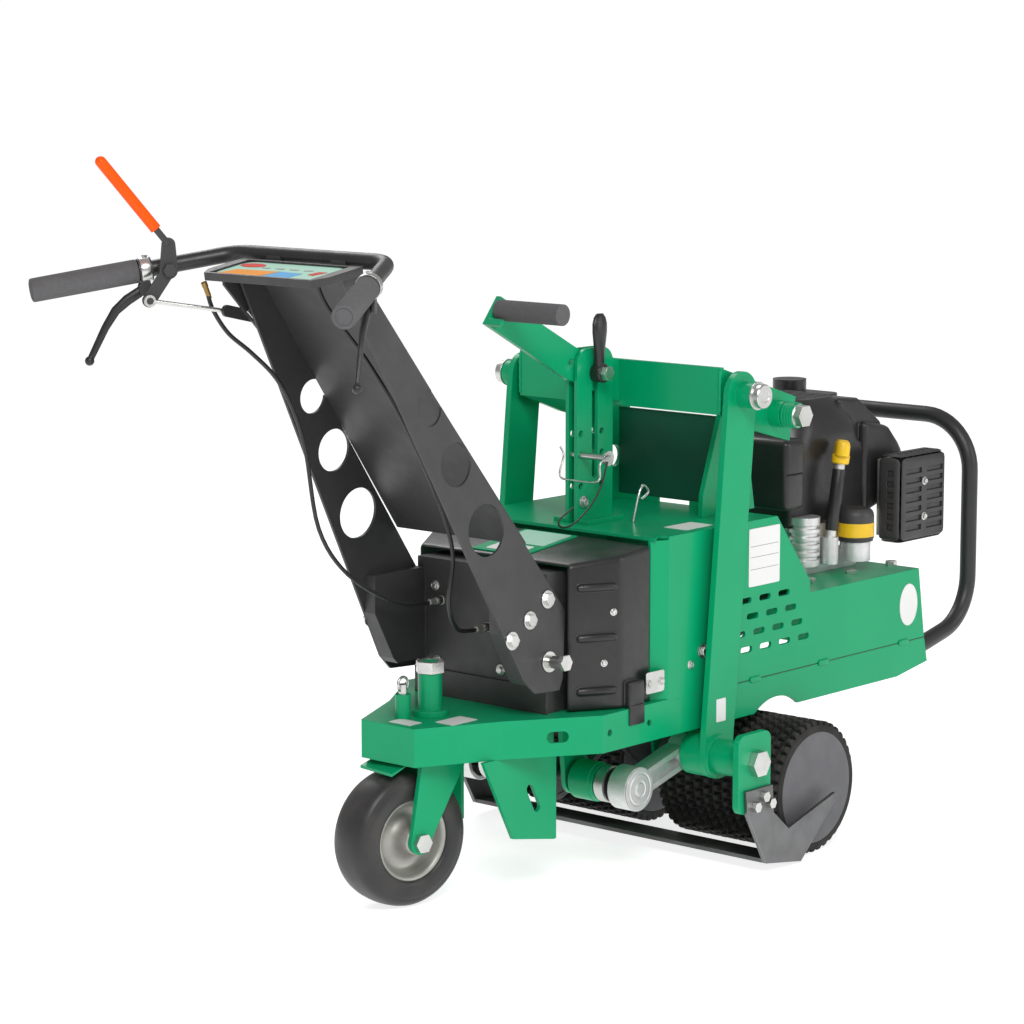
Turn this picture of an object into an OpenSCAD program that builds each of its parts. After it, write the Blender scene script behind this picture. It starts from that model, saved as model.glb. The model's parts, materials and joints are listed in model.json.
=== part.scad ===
// Walk-behind sod cutter: a knobby drum drives it, and two eccentric rods swing a U-shaped blade
// under the turf.
// Frame: +X towards the engine, +Y to the operator's left, +Z up. The machine stands on z = 0.

/* [Chassis] */
// Half width over the side panels
half_w = 187; // [183:1:194]
// Thickness of the chassis plate
sheet = 5; // [4:0.5:6]
// Bottom edge of the rear platform and the rails
rail_low_z = 208; // [205:1:212]
// Top face of the rear platform
plat_z = 262; // [258:1:268]
// Top face of the body
top_z = 497; // [490:1:505]
// Top face of the engine deck
deck_z = 372; // [366:1:378]
// Rear tip of the platform
plat_tail_x = -404; // [-415:1:-398]
// Half width of the platform's rear tip
plat_tail_half = 50; // [44:1:56]
// Front edge of the deck
deck_front_x = 605; // [600:1:612]
// Bumper tube diameter
bumper_d = 26; // [22:1:30]
// Front face of the bumper hoop's centre line
bumper_x = 776; // [765:1:785]
// Height of the bumper's cross bar
bumper_z = 590; // [570:1:610]

/* [Caster] */
// Caster tyre diameter
tyre_d = 193; // [185:1:196]
// Caster tyre width
tyre_w = 72; // [60:1:74]
// Distance of the wheel behind the swivel
caster_trail = 55; // [50:1:60]
// Angle that the caster stands turned at
caster_turn = -9.5; // [-20:0.5:20]

/* [Drum] */
// Drive drum diameter over the lugs
drum_d = 198; // [190:1:202]
// Half width of the drum
drum_half = 262; // [250:1:263]
// Lugs round each band of the tread
lug_count = 16; // [12:1:20]
// Bands of lugs on each half of the drum
lug_bands = 10; // [8:1:11]

/* [Blade] */
// Thickness of the blade
blade_t = 6; // [5:0.5:7]
// Width of the hanging arms
arm_w = 66; // [56:1:70]
// Thickness of the hanging arms
arm_t = 10; // [8:0.5:11]
// Throw of the eccentric shaft
throw = 4; // [2:0.5:6]

/* [Depth control] */
// Thickness of the depth lever
lever_t = 8; // [6:0.5:9]
// Thickness of each guide plate
guide_t = 6; // [5:0.5:8]
// Height of the guide plates above the body
guide_h = 253; // [245:1:270]
// Depth grip diameter
depth_grip_d = 30; // [26:1:34]
// Length of the depth grip
depth_grip_len = 114; // [90:1:125]

/* [Handle] */
// Handlebar tube diameter
bar_d = 22.2; // [19:0.1:25.4]
// Hand grip diameter
grip_d = 32; // [28:1:36]
// Hand grip length
grip_len = 140; // [115:1:145]
// Half width of the column at its bolts
column_low_half = 130; // [128:1:134]
// Half width of the column under the tray
column_top_half = 100; // [95:1:104]
// Thickness of the column plates
column_t = 4; // [3:0.5:5]

/* [Engine] */
// Muffler guard length along the machine
muffler_len = 116; // [100:1:120]
// Oil filter diameter
filter_d = 58; // [50:1:62]
// Diameter of the blower housing
blower_d = 190; // [170:1:192]

/* [Hidden] */
$fn = 48;

// Colours
GREEN = [0.02, 0.52, 0.30];
BLACK = [0.09, 0.09, 0.10];
STEEL = [0.62, 0.63, 0.65];
ZINC = [0.78, 0.78, 0.76];
RUBBER = [0.07, 0.07, 0.07];
ORANGE = [0.95, 0.35, 0.08];
YELLOW = [0.95, 0.80, 0.10];
CAST = [0.70, 0.71, 0.72];
BRONZE = [0.72, 0.53, 0.22];

// Shared clearances: an overrun for cuts, a running fit, a static fit and an air gap
over = 1;
run_fit = 0.05;
seat_fit = 0.2;
air = 0.4;

// Platform and rails
plat_mid_x = -287;
plat_mid_half = 107;
plat_wide_x = -165;
plat_front_x = -20;
seam_drop = 3;
seam_z = plat_z - seam_drop;
rail_rise_x = 550;
nose_rise = 13;
nose = [632, rail_low_z + nose_rise];
seam_front_x = 623;
arch_r = 87;
arch_rise = 18;
arch_top_z = rail_low_z + arch_rise;
skirt_hole_r = 8;
skirt_hole_len = 16;
skirt_hole_share = 0.55;
rail_hole_r = 5;
rail_hole_x = [-150, -62];
inner_half = half_w - sheet;

// Body
slope_top_x = 235;
slope_low_x = 318;
slope_low_rise = 18;
slope_low_z = deck_z + slope_low_rise;
panel_bend = 26;
panel_bend_in = 13;
slot_len = 28;
slot_w = 9;
slot_pitch = 46.7;
slot_rise = 24.4;
slot_first_rise = 48;
slot_low_z = seam_z + slot_first_rise;
slot_rows = [[163, 4], [146, 4], [177, 3], [160, 3]];

// Cross shaft and yoke
yoke_x = 220.5;
yoke_rise = 154;
yoke_z = top_z + yoke_rise;
shaft_r = 10;
yoke_t = 8;
yoke_proud = 3;
yoke_out = half_w + yoke_proud;
yoke_in = yoke_out - yoke_t;
collar_r = 20;
collar_len = 22;
spacer_r = 17;
spacer_len = 21.7;
nut_r = 17;
nut_len = 13;
hang_back = 103;
hang_rise = 38;
hang_x = yoke_x - hang_back;
hang_z = yoke_z + hang_rise;
beam_x = 90;
beam_t = 8;
beam_low_rise = 9;
beam_top_rise = 77;
beam_low_z = yoke_z + beam_low_rise;
beam_top_z = yoke_z + beam_top_rise;
yoke_front_rise = 20;
yoke_front_drop = 44;
yoke_belly_drop = 23;
yoke_front_top = [272, yoke_z + yoke_front_rise];
yoke_front_low = [258, yoke_z - yoke_front_drop];
yoke_belly = [179, yoke_z - yoke_belly_drop];

// Uprights and bulkhead
upright_y = 106;
upright_t = 8;
upright_eye_r = 26;
upright_eye_turn = 25;
upright_hole_drop = 88;
upright_hole = [212, yoke_z - upright_hole_drop];
upright_hole_r = 17;
upright_rear_low_x = 148;
upright_knee_rise = 33;
upright_rear_knee = [150, top_z + upright_knee_rise];
upright_front_low_x = 275;
bulkhead_x = 224;
bulkhead_rise = 8;
bulkhead_h = 132;
bulkhead_slit = 60;

// Depth guide and lever
guide_gap = 1;
guide_y = lever_t / 2 + guide_gap;
guide_rear_x = -14.5;
guide_w = 81;
guide_foot_w = 22;
guide_slot_x = 25.5;
guide_slot_w = 13;
guide_slot_rise = 63;
guide_slot_low_z = top_z + guide_slot_rise;
guide_slot_len = 165;
guide_hole_r = 5;
guide_hole_x = [-5.5, 41.5];
guide_hole_rise = [53, 99, 130];
guide_corner_r = 24;
clamp_rise = 217;
clamp_z = top_z + clamp_rise;
lever_tip_rise = [303, 340];
lever_waist_rise = [212, 252];
lever_hole_rise = 234;
lever_tip_low = [-203, top_z + lever_tip_rise[0]];
lever_tip_top = [-173, top_z + lever_tip_rise[1]];
lever_waist_low = [-30, top_z + lever_waist_rise[0]];
lever_waist_top = [-2, top_z + lever_waist_rise[1]];
lever_hole = [-20, top_z + lever_hole_rise];
lever_hole_r = 6;
lever_slot_len = 40;
lever_slot_w = 14;
lever_flange_w = 25;
lever_flange_t = 5;
lever_lip_share = 1 / 3;
grip_gap = 3;
lever_rod_r = 8;
depth_grip_rise = 321;
depth_grip_at = [-178, top_z + depth_grip_rise];
pin_r = 4.9;
pin_out = 53;
pin_back = 14;
pin_ring_r = 11;
pin_ring_t = 4;
clamp_r = 6;
clamp_head_r = 11;
clamp_head_t = 9;
clamp_hub_r = 14;
clamp_hub_t = 18;
clamp_handle_h = 87;
clamp_handle_r = 8;

// Blade carriage
arm_gap = 13;
arm_in = half_w + arm_gap;
arm_out = arm_in + arm_t;
low_x = 68;
low_z = 168;
bush_r = 14;
bush_gap = 1;
bush_in = yoke_out + bush_gap;
bush_len = 44;
boss_r = 19;
boss_proud = 26;
boss_out = arm_out + boss_proud;
hang_pin_len = 57;
sleeve_r = 25.5;
sleeve_collar_r = 32;
sleeve_inset = 24;
sleeve_in = half_w - sleeve_inset;
sleeve_collar_len = 52;
tab_gap = 6;
tab_in = drum_half + tab_gap;
tab_t = 10;
tab_low_x = 27;
tab_w = 76;
tab_low_z = 97;
tab_h = 115;
tab_corner_r = 14;
blade_in = tab_in + tab_t;
blade_out = blade_in + blade_t;
blade_top_z = 131;
blade_rear_x = 39;
blade_neck_x = 101;
blade_neck = [104, 90];
blade_hook = [141, 59];
blade_horn_top = [256, 92];
blade_horn_tip = [262, 87];
blade_lip = [172, 4];
blade_heel = [87, 17];
blade_back = [42, 97];
tab_bolt_at = [[79, 118], [59, 106], [94, 106]];
tab_bolt_r = 8;
tab_bolt_t = 7;
big_bolt_r = 20;
big_bolt_t = 12;
rod_pin_r = 12;
rod_inset = 54;
rod_in = half_w - rod_inset;
rod_len_y = 29.7;
rod_washer_r = 18;
rod_washer_t = 3;

// Eccentric shaft and rods
ecc_x = -58;
ecc_z = 134;
ecc_r = 12.5;
ecc_shoulder = 5;
ecc_main_half = rod_in - ecc_shoulder;
ecc_collar_r = 25;
ecc_collar_in = 53;
ecc_collar_len = 67;
journal_r = 14;
big_r = 32;
big_bore_r = 26;
small_r = 24;
rod_shank_w = 34;
rod_web_t = 8;
rod_cap_t = 3;
ecc_sprocket_r = 30;

// Drum
drum_x = 237.5;
drum_z = drum_d / 2;
drum_gap = 37;
lug_h = 10;
tread_t = 6;
shell_t = 7;
disc_t = 6;
axle_r = 15;
band_share = 0.74;
lug_share = 0.62;
drum_sprocket_r = 45;
root_r = drum_d / 2 - lug_h;
shell_r = root_r - tread_t;

// Drive frame
floor_drop = 12;
floor_z = plat_z - floor_drop;
floor_front_x = 310;
hanger_y = 20;
hanger_t = 6;
hanger_eye = 12;
hanger_top_w = 90;
ecc_hanger_y = 40;
ecc_hanger_t = 8;
bracket_y = 97;
bracket_t = 6;
bracket_rear_x = -321;
bracket_step_x = -262;
bracket_front_x = -173;
bracket_heel = [-259, 89];
bracket_toe_z = 73;
bracket_slot_w = 14;
bracket_slot_len = 46;
bracket_flange = 24;

// Gearbox, chains and belt
gear_x = 85;
gear_drop = 45;
gear_z = floor_z - gear_drop;
gear_shaft_r = 10;
gear_shaft_gap = 1.2;
gear_box_x = 50;
gear_box_w = 70;
gear_box_y = 18;
gear_box_d = 52;
gear_box_h = 85;
gear_bolt_r = 6;
gear_sprocket_r = 22;
sprocket_t = 5;
sprocket_drum_y = 3;
sprocket_ecc_y = -14;
chain_t = 8;
chain_w = 7;
input_y = gear_box_y + gear_box_d / 2;
pulley_z = 318;
pulley_h = 24;
pulley_groove = 8;
groove_w = 12;
input_pulley_r = 55;
engine_pulley_r = 38;
belt_w = 10;
belt_t = 7;
crank_r = 12;
crank_gap = 3.2;

// Caster
swivel_x = -317.5;
swivel_r = 17;
swivel_rise = 60;
swivel_top_z = plat_z + swivel_rise;
swivel_collar_r = 26;
swivel_collar_h = 8;
stem_r = 12;
crown_rise = 12;
crown_z = rail_low_z + crown_rise;
crown_t = 8;
crown_rear = -52;
crown_front = 30;
leg_gap = 6;
leg_in = tyre_w / 2 + leg_gap;
leg_t = 8;
leg_eye_r = 17;
thrust_t = 1.5;
thrust_r = 24;
stem_nut_r = 21;
stem_nut_h = 16;
caster_axle_r = 8;
caster_head_r = 14;
caster_head_t = 8;
rim_r = 57;
rim_wall = 6;
rim_half_share = 0.42;
tyre_round_share = 1 / 6;
rim_half = tyre_w * rim_half_share;
tyre_round = tyre_w * tyre_round_share;
hub_r = 24;
spoke_t = 10;
flap_out = 43;
flap_drop = 23;
flap_t = 4;
flap_half = 36;
flap_fold = 6;
flap_fold_drop = 10;
lock_at = [-360, 12];
lock_r = 11;
lock_h = 34;
lock_pin_r = 6;
lock_ring_r = 10;
lock_ring_t = 4;
lock_head_h = 14;

// Rear box, cover and plate on its top
box_rear_x = -210.5;
box_front_x = -150;
box_half = 122;
box_h = 198;
box_top_z = plat_z + box_h;
box_t = 4;
box_flange_h = 38;
box_flange_half = 125;
cheek_in = 108;
cover_rear_x = -186;
cover_rear_half = 141;
cover_mid_x = -118;
cover_mid_inset = 7;
cover_mid_half = half_w - cover_mid_inset;
cover_front_x = -48;
cover_front_inset = 9;
cover_rear_drop = 25;
cover_front_drop = 9;
cover_front_half = half_w - cover_front_inset;
cover_rear_z = top_z - cover_rear_drop;
cover_front_z = top_z - cover_front_drop;
cover_t = 3;
cover_rib_r = 6;
cover_rib_z_share = [0.14, 0.50, 0.84];
cover_rib_ends_share = [0.15, 0.92];
hood_plate_t = 2;
hood_plate_half = 50;
hood_plate_len = 118;
hood_plate_inset = 12;

// Handle column
column_bolt_z = 427;
column_top_z = 865;
column_tilt = atan((column_low_half - column_top_half) / (column_top_z - column_bolt_z));
column_rear_top = [-588.6, 892.7];
column_front_top = [-554, 898.1];
column_front_low = [-181.5, 406];
column_toe_front = [-194.5, 313];
column_toe_low = [-202.5, 297];
column_heel_low = [-254.5, 300];
column_heel_rear = [-276.5, 321];
column_hole_at = [[-436.5, 711.5], [-390.5, 632], [-336.5, 537]];
column_hole_r = [24, 30, 36];
column_bolt_at = [[-218.5, 427], [-257.5, 403], [-296.5, 380]];
column_pivot_at = [-221.5, 340];
bolt_r = 9;
bolt_t = 7;
pivot_bolt_r = 12;
pivot_bolt_len = 26;
web_low = [-252, 509];
web_high = [-552.9, 895.7];
web_t = 4;

// Tray, handlebar and its fittings
tray_rear_x = -644;
tray_len = 84;
tray_z = 882.7;
tray_h = 10.7;
tray_half = 111;
tray_rear_half = 98;
tray_tilt = 9.3;
tray_recess = 3;
tray_rim = 5;
bar_x = -544;
bar_z = 912;
bar_half = 139;
bar_end = [-776, 285, 868];
bar_bend_r = 45;
bar_sides = 32;
saddle_y = 60;
saddle_w = 26;
saddle_h = 16;
saddle_len = 24;
perch_len = 18;
perch_wall = 5;
perch_drop = 26;
perch_cheek_t = 4;
perch_gap = 10;
lever_pivot_r = 4;
lever_boss_r = 9;
lever_bar_r = 5;
lever_ball_r = 9;
lever_ball_steps = 8;
lever_sides = 12;
lever_elbow_out = 32;
lever_elbow_drop = 20;
lever_tip_out = 78;
lever_tip_drop = 97;
bracket_plate_y = 108;
bracket_plate_t = 4;
bracket_plate_top = [-600, 889.3];
bracket_plate_knee = [-599, 873];
bracket_plate_low = [-496, 769];
bracket_plate_toe = [-478, 784];
bracket_plate_front = [-562, 895];
strut_low = [-498, 790];
strut_high = [-552, 838];
strut_slot_w = 16;

// Engagement lever in the plane beside the left bar: along the bar and up
speed_pivot = [-646, 165, 893];
speed_foot = [27, -40];
speed_elbow_h = 34;
speed_sleeve_low = [16, 55];
speed_tip = [88, 144];
speed_plate_w = 18;
speed_plate_t = 5;
speed_rod_r = 4.5;
speed_sleeve_r = 7.5;
speed_sleeve_steps = 10;
speed_pin_r = 5;
speed_boss_r = 12;
link_end = [-590, 120, 838];
link_r = 3;
link_bracket_front = [-536, 826];
link_eye_r = 8;
link_eye_t = 6;

// Control cables: points along each route
cable_r = 3;
cable_left_route = [
    [-600, 140, 862], [-592, 138, 838], [-574, 128, 806], [-552, 108, 780], [-522, 92, 745], [-494, 88, 700],
    [-470, 88, 640], [-446, 88, 530], [-392, 86, 460], [-310, 78, 412], [-250, 75, 401], [-221, 75, 401]];
cable_right_route = [
    [-578, -40, 890], [-560, -44, 850], [-506, -60, 780], [-440, -66, 690], [-372, -64, 580], [-338, -62, 500],
    [-340, -56, 430], [-300, -34, 386], [-250, -15, 373], [-221, -15, 373]];
cable_stop_r = 6;
cable_steps = 3;

// Front bumper
bumper_inset = 22;
bumper_half = half_w - bumper_inset;
bumper_rear = [600, 232];
bumper_low_z = 270;
bumper_bend_r = 85;
bumper_sides = 20;

// Engine, seated on the deck
engine_x = 500;
case_half = 92;
case_rear_x = 424;
case_len = 156;
case_flange_h = 16;
case_r = 84;
case_h = 74;
case_top_z = deck_z + case_h;
fill_at = [470, -112];
fill_r = 14;
fill_h = 58;
tube_rise = 180;
tube_top = [490, -117, deck_z + tube_rise];
tube_r = 8;
cap_r = 18;
cap_h = 32;
cap_skirt = 10;
filter_at = [527, -120];
filter_base_h = 46;
filter_base_r = 24;
filter_h = 52;
boss_share = 0.8;
shroud_low_z = case_top_z;
shroud_rise = 190;
shroud_top_z = deck_z + shroud_rise;
shroud_half = 88;
shroud_rear_x = 404;
shroud_front_x = 600;
blower_h = 76;
blower_top_r = 78;
blower_slot_w = 6;
blower_slot_pitch = 15;
blower_slot_depth = 9;
blower_slot_side = 5;
blower_slot_turn = 10;
blower_slot_share = 0.8;
front_hood_len = 100;
front_hood_drop = 56;
front_hood_half = 92;
cleaner_len = 50;
cleaner_rear_x = shroud_rear_x - cleaner_len;
cleaner_half = 52;
cleaner_y = -62;
cleaner_rise = 109;
cleaner_low_z = deck_z + cleaner_rise;
cleaner_h = 109;
cleaner_corner_r = 12;
muffler_x = 608;
muffler_rise = 38;
muffler_low_z = deck_z + muffler_rise;
muffler_h = 130;
muffler_y = -151;
muffler_d = 50;
muffler_wall = 3;
muffler_slot_w = 7;
muffler_slot_pitch = 14;
muffler_gap = 7;
tank_x = 597;
tank_len = 94;
tank_y = 24;
tank_d = 110;
tank_low_z = shroud_top_z;
tank_h = 62;
tank_corner_r = 24;
fuel_at = [638, 92];
fuel_neck_r = 20;
fuel_neck_h = 8;
fuel_cap_r = 27;
fuel_cap_h = 22;
deck_bolt_x = [386, 491, 600];
deck_bolt_y = 138;

// Unit vector along v
function unit(v) = v / norm(v);

// Meeting point of two lines, each a point and a direction
function meet(p, d, q, e) = p + d * ((q.x - p.x) * e.y - (q.y - p.y) * e.x) / (d.x * e.y - d.y * e.x);

// Closed outline, counterclockwise, moved inwards by w
function inset_poly(p, w) = let (n = len(p)) [
    for (i = [0:n - 1])
        let (a = p[(i + n - 1) % n], b = p[i], c = p[(i + 1) % n], d = unit(b - a), e = unit(c - b))
        meet(b + w * [-d.y, d.x], d, b + w * [-e.y, e.x], e)];

// Open line of points moved to its right by w, with mitred corners
function side_line(p, w) = let (n = len(p)) [
    for (i = [0:n - 1])
        let (d = unit(p[i] - p[max(i - 1, 0)] + (i == 0 ? p[1] - p[0] : [0, 0])),
             e = unit(p[min(i + 1, n - 1)] - p[i] + (i == n - 1 ? p[i] - p[i - 1] : [0, 0])))
        cross(d, e) == 0
            ? p[i] + w * [d.y, -d.x]
            : meet(p[i] + w * [d.y, -d.x], d, p[i] + w * [e.y, -e.x], e)];

// Strip of thickness w along a line of points
function strip(p, w) = let (q = side_line(p, w), n = len(p)) concat(p, [for (i = [n - 1:-1:0]) q[i]]);

// Points of a smooth curve through the points p, with m steps a span
function curve(p, m) = let (n = len(p)) concat([
    for (i = [0:n - 2], s = [0:m - 1])
        let (t = s / m, a = p[max(i - 1, 0)], b = p[i], c = p[i + 1], d = p[min(i + 2, n - 1)])
        (2 * b + (c - a) * t + (2 * a - 5 * b + 4 * c - d) * t * t
            + (3 * b - a - 3 * c + d) * t * t * t) / 2],
    [p[n - 1]]);

// Toothed outline: lugs of tip radius r on a root radius, turned by a share of the pitch
function lug_ring(count, r, root, share, phase) = [
    for (i = [0:count - 1], k = [0:3])
        let (side = k < 2 ? -1 : 1, at = 360 / count * (i + phase + side * share / 2),
             q = k % 3 == 0 ? root : r)
        q * [cos(at), sin(at)]];

module both_sides() {
    children();
    mirror([0, 1, 0]) children();
}

// Plate standing in the XZ plane from y0, t thick
module slab(y0, t) translate([0, y0 + t, 0]) rotate([90, 0, 0]) linear_extrude(t) children();

// Plate lying at height z, t thick
module layer(z, t) translate([0, 0, z]) linear_extrude(t) children();

// Round bar along Y
module peg(x, z, y0, length, r) translate([x, y0 + length, z]) rotate([90, 0, 0]) cylinder(h = length, r = r);

// Round bar along Z
module post(x, y, z, length, r) translate([x, y, z]) cylinder(h = length, r = r);

// Ring along Y
module collar(x, z, y0, length, r, bore) difference() {
    peg(x, z, y0, length, r);
    peg(x, z, y0 - over, length + 2 * over, bore);
}

// Hexagon head or nut along Y
module hex_y(x, z, y0, length, r)
    translate([x, y0 + length, z]) rotate([90, 0, 0]) cylinder(h = length, r = r, $fn = 6);

// Local frame at a whose Z axis points to b
module aimed(a, b) {
    d = b - a;
    translate(a) rotate([0, acos(d.z / norm(d)), atan2(d.y, d.x)]) children();
}

module bar(a, b, r) aimed(a, b) cylinder(h = norm(b - a), r = r);

// Points along straight runs joined by equal bends
function bent_path(p, bend, steps = 8) = let (n = len(p)) concat([p[0]], [
    for (i = [1:n - 2])
        let (d = unit(p[i] - p[i - 1]), e = unit(p[i + 1] - p[i]), turn = acos(d * e),
             side = unit(e - d * (d * e)),
             hub = p[i] - d * bend * tan(turn / 2) + side * bend)
        for (k = [0:steps]) hub + bend * (sin(turn * k / steps) * d - cos(turn * k / steps) * side)],
    [p[n - 1]]);

// Round cord along the points p, with one radius or one for each point, and its sides counted from a direction
// that no run has
module cord(p, r, sides = 8, ref = [0, 1, 0]) {
    n = len(p);
    ring = [
        for (i = [0:n - 1])
            let (d = unit(p[min(i + 1, n - 1)] - p[max(i - 1, 0)]), u = unit(cross(d, ref)), v = cross(d, u))
            for (k = [0:sides - 1])
                p[i] + (is_list(r) ? r[i] : r) * (cos(360 * k / sides) * u + sin(360 * k / sides) * v)];
    walls = [
        for (i = [0:n - 2], k = [0:sides - 1], s = [0, 1])
            let (a = i * sides + k, b = i * sides + (k + 1) % sides)
            s == 0 ? [b, a, a + sides] : [b + sides, b, a + sides]];
    caps = [
        for (k = [1:sides - 2], s = [0, 1])
            let (e = (n - 1) * sides)
            s == 0 ? [0, k, k + 1] : [e, e + k + 1, e + k]];
    polyhedron(ring, concat(walls, caps));
}

// Slot with round ends along X in a flat outline
module slot(length, w) {
    square([length - w, w], center = true);
    for (s = [-1, 1]) translate([s * (length - w) / 2, 0]) circle(w / 2);
}

// Rectangle with round corners, from its low corner
module round_rect(w, h, r) {
    translate([r, 0]) square([w - 2 * r, h]);
    translate([0, r]) square([w, h - 2 * r]);
    for (x = [r, w - r], y = [r, h - r]) translate([x, y]) circle(r);
}

// Points along an arc round a
function arc(a, r, from, to, steps = 20) = [
    for (k = [0:steps])
        let (at = from + (to - from) * k / steps)
        a + r * [cos(at), sin(at)]];

// Two circles joined by their straight flanks
module link_outline(a, b, ra, rb) {
    along = atan2(b.y - a.y, b.x - a.x);
    flank = 90 - asin((ra - rb) / norm(b - a));
    polygon(concat(arc(a, ra, along + flank, along + 360 - flank), arc(b, rb, along - flank, along + flank)));
}

// Outline of a loop round two wheels
module loop_outline(a, b, ra, rb, t) difference() {
    link_outline(a, b, ra + t, rb + t);
    link_outline(a, b, ra, rb);
}

// Chassis

function plat_outline(front) = [
    [plat_tail_x, -plat_tail_half], [plat_mid_x, -plat_mid_half], [plat_wide_x, -half_w], [front, -half_w],
    [front, half_w], [plat_wide_x, half_w], [plat_mid_x, plat_mid_half], [plat_tail_x, plat_tail_half]];

module platform() color(GREEN) difference() {
    layer(rail_low_z, plat_z - rail_low_z) polygon(plat_outline(plat_front_x));
    layer(rail_low_z - over, plat_z - sheet - rail_low_z + over)
        polygon(inset_poly(plat_outline(plat_front_x + sheet + over), sheet));
    post(swivel_x, 0, plat_z - sheet - over, sheet + 2 * over, swivel_r + seat_fit);
    post(lock_at.x, lock_at.y, plat_z - sheet - over, sheet + 2 * over, lock_pin_r + air);
    both_sides() {
        for (x = rail_hole_x)
            peg(x, (rail_low_z + plat_z) / 2, -half_w - over, sheet + 2 * over, rail_hole_r);
        a = [plat_mid_x, -plat_mid_half];
        b = [plat_wide_x, -half_w];
        at = a + (b - a) * skirt_hole_share;
        translate([at.x, at.y, (rail_low_z + plat_z) / 2]) rotate([90, 0, atan2(b.y - a.y, b.x - a.x)])
            linear_extrude(4 * sheet, center = true)
            slot(skirt_hole_len + 2 * skirt_hole_r, 2 * skirt_hole_r);
    }
}

module swivel_mounts() color(GREEN) {
    difference() {
        union() {
            post(swivel_x, 0, crown_z + 2 * thrust_t, swivel_top_z - crown_z - 2 * thrust_t, swivel_r);
            post(swivel_x, 0, plat_z, swivel_collar_h, swivel_collar_r);
        }
        post(swivel_x, 0, crown_z, swivel_top_z, stem_r + run_fit);
    }
    difference() {
        post(lock_at.x, lock_at.y, plat_z, lock_h, lock_r);
        post(lock_at.x, lock_at.y, plat_z - over, lock_h + 2 * over, lock_pin_r + run_fit);
    }
}

module chassis_rails() color(GREEN) both_sides() slab(-half_w, sheet) difference() {
    polygon([
        [plat_front_x, rail_low_z], [rail_rise_x, rail_low_z], nose, [seam_front_x, seam_z],
        [plat_front_x, seam_z]]);
    translate([drum_x, arch_top_z - arch_r]) circle(arch_r);
}

module panel_outline() polygon([
    [plat_front_x, seam_z], [seam_front_x, seam_z], [deck_front_x, deck_z], [slope_low_x, deck_z],
    [slope_low_x, slope_low_z], [slope_top_x, top_z], [plat_front_x, top_z]]);

module side_panels() color(GREEN) both_sides() {
    slab(-half_w, sheet) difference() {
        panel_outline();
        for (row = [0:len(slot_rows) - 1], k = [0:slot_rows[row][1] - 1])
            translate([slot_rows[row][0] + k * slot_pitch, slot_low_z + row * slot_rise])
                slot(slot_len, slot_w);
    }
    layer(plat_z, top_z - sheet - plat_z) polygon([
        [plat_front_x, -half_w], [plat_front_x, -inner_half],
        [plat_front_x - panel_bend, panel_bend_in - inner_half],
        [plat_front_x - panel_bend, panel_bend_in - half_w]]);
}

module body_top() color(GREEN) difference() {
    slab(-inner_half, 2 * inner_half) polygon(strip([
        [plat_front_x - panel_bend, top_z], [slope_top_x, top_z], [slope_low_x, slope_low_z],
        [slope_low_x, deck_z]], sheet));
    for (s = [-1, 1])
        translate([plat_front_x - panel_bend - over, s * inner_half, top_z - 2 * sheet])
            rotate([0, 0, -s * atan(panel_bend_in / panel_bend)])
            translate([-panel_bend, (s - 1) * panel_bend_in / 2, 0])
            cube([2 * panel_bend, panel_bend_in, 3 * sheet]);
}

module engine_deck() color(GREEN) difference() {
    slab(-inner_half, 2 * inner_half) polygon(strip([
        [slope_low_x - sheet, deck_z], [deck_front_x, deck_z], nose], sheet));
    post(engine_x, 0, deck_z - sheet - over, sheet + 2 * over, crank_r + crank_gap);
    both_sides()
        bar([bumper_rear.x, -bumper_half, bumper_rear.y], [bumper_x, -bumper_half, bumper_low_z],
            bumper_d / 2 + seat_fit);
}

module front_bumper() color(BLACK) cord(bent_path([
    [bumper_rear.x, -bumper_half, bumper_rear.y], [bumper_x, -bumper_half, bumper_low_z],
    [bumper_x, -bumper_half, bumper_z], [bumper_x, bumper_half, bumper_z],
    [bumper_x, bumper_half, bumper_low_z], [bumper_rear.x, bumper_half, bumper_rear.y]], bumper_bend_r),
    bumper_d / 2, bumper_sides, [1, 1, 1]);

module uprights() color(GREEN) {
    both_sides() slab(upright_y, upright_t) difference() {
        union() {
            polygon([
                [upright_rear_low_x, top_z], [upright_front_low_x, top_z], [yoke_x + upright_eye_r, yoke_z],
                [yoke_x - upright_eye_r * cos(upright_eye_turn),
                 yoke_z + upright_eye_r * sin(upright_eye_turn)], upright_rear_knee]);
            translate([yoke_x, yoke_z]) circle(upright_eye_r);
        }
        translate([yoke_x, yoke_z]) circle(shaft_r + seat_fit);
        translate(upright_hole) circle(upright_hole_r);
    }
    difference() {
        translate([bulkhead_x, -upright_y, top_z]) cube([sheet, 2 * upright_y, bulkhead_rise + bulkhead_h]);
        translate([bulkhead_x - over, -bulkhead_slit / 2, top_z - over])
            cube([sheet + 2 * over, bulkhead_slit, bulkhead_rise + over]);
    }
}

module pivot_shaft() color(ZINC) {
    spacer_in = yoke_out + collar_len + air;
    peg(yoke_x, yoke_z, -spacer_in - spacer_len - nut_len, 2 * (spacer_in + spacer_len + nut_len), shaft_r);
    both_sides() {
        peg(yoke_x, yoke_z, spacer_in, spacer_len, spacer_r);
        hex_y(yoke_x, yoke_z, spacer_in + spacer_len, nut_len, nut_r);
    }
}

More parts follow.
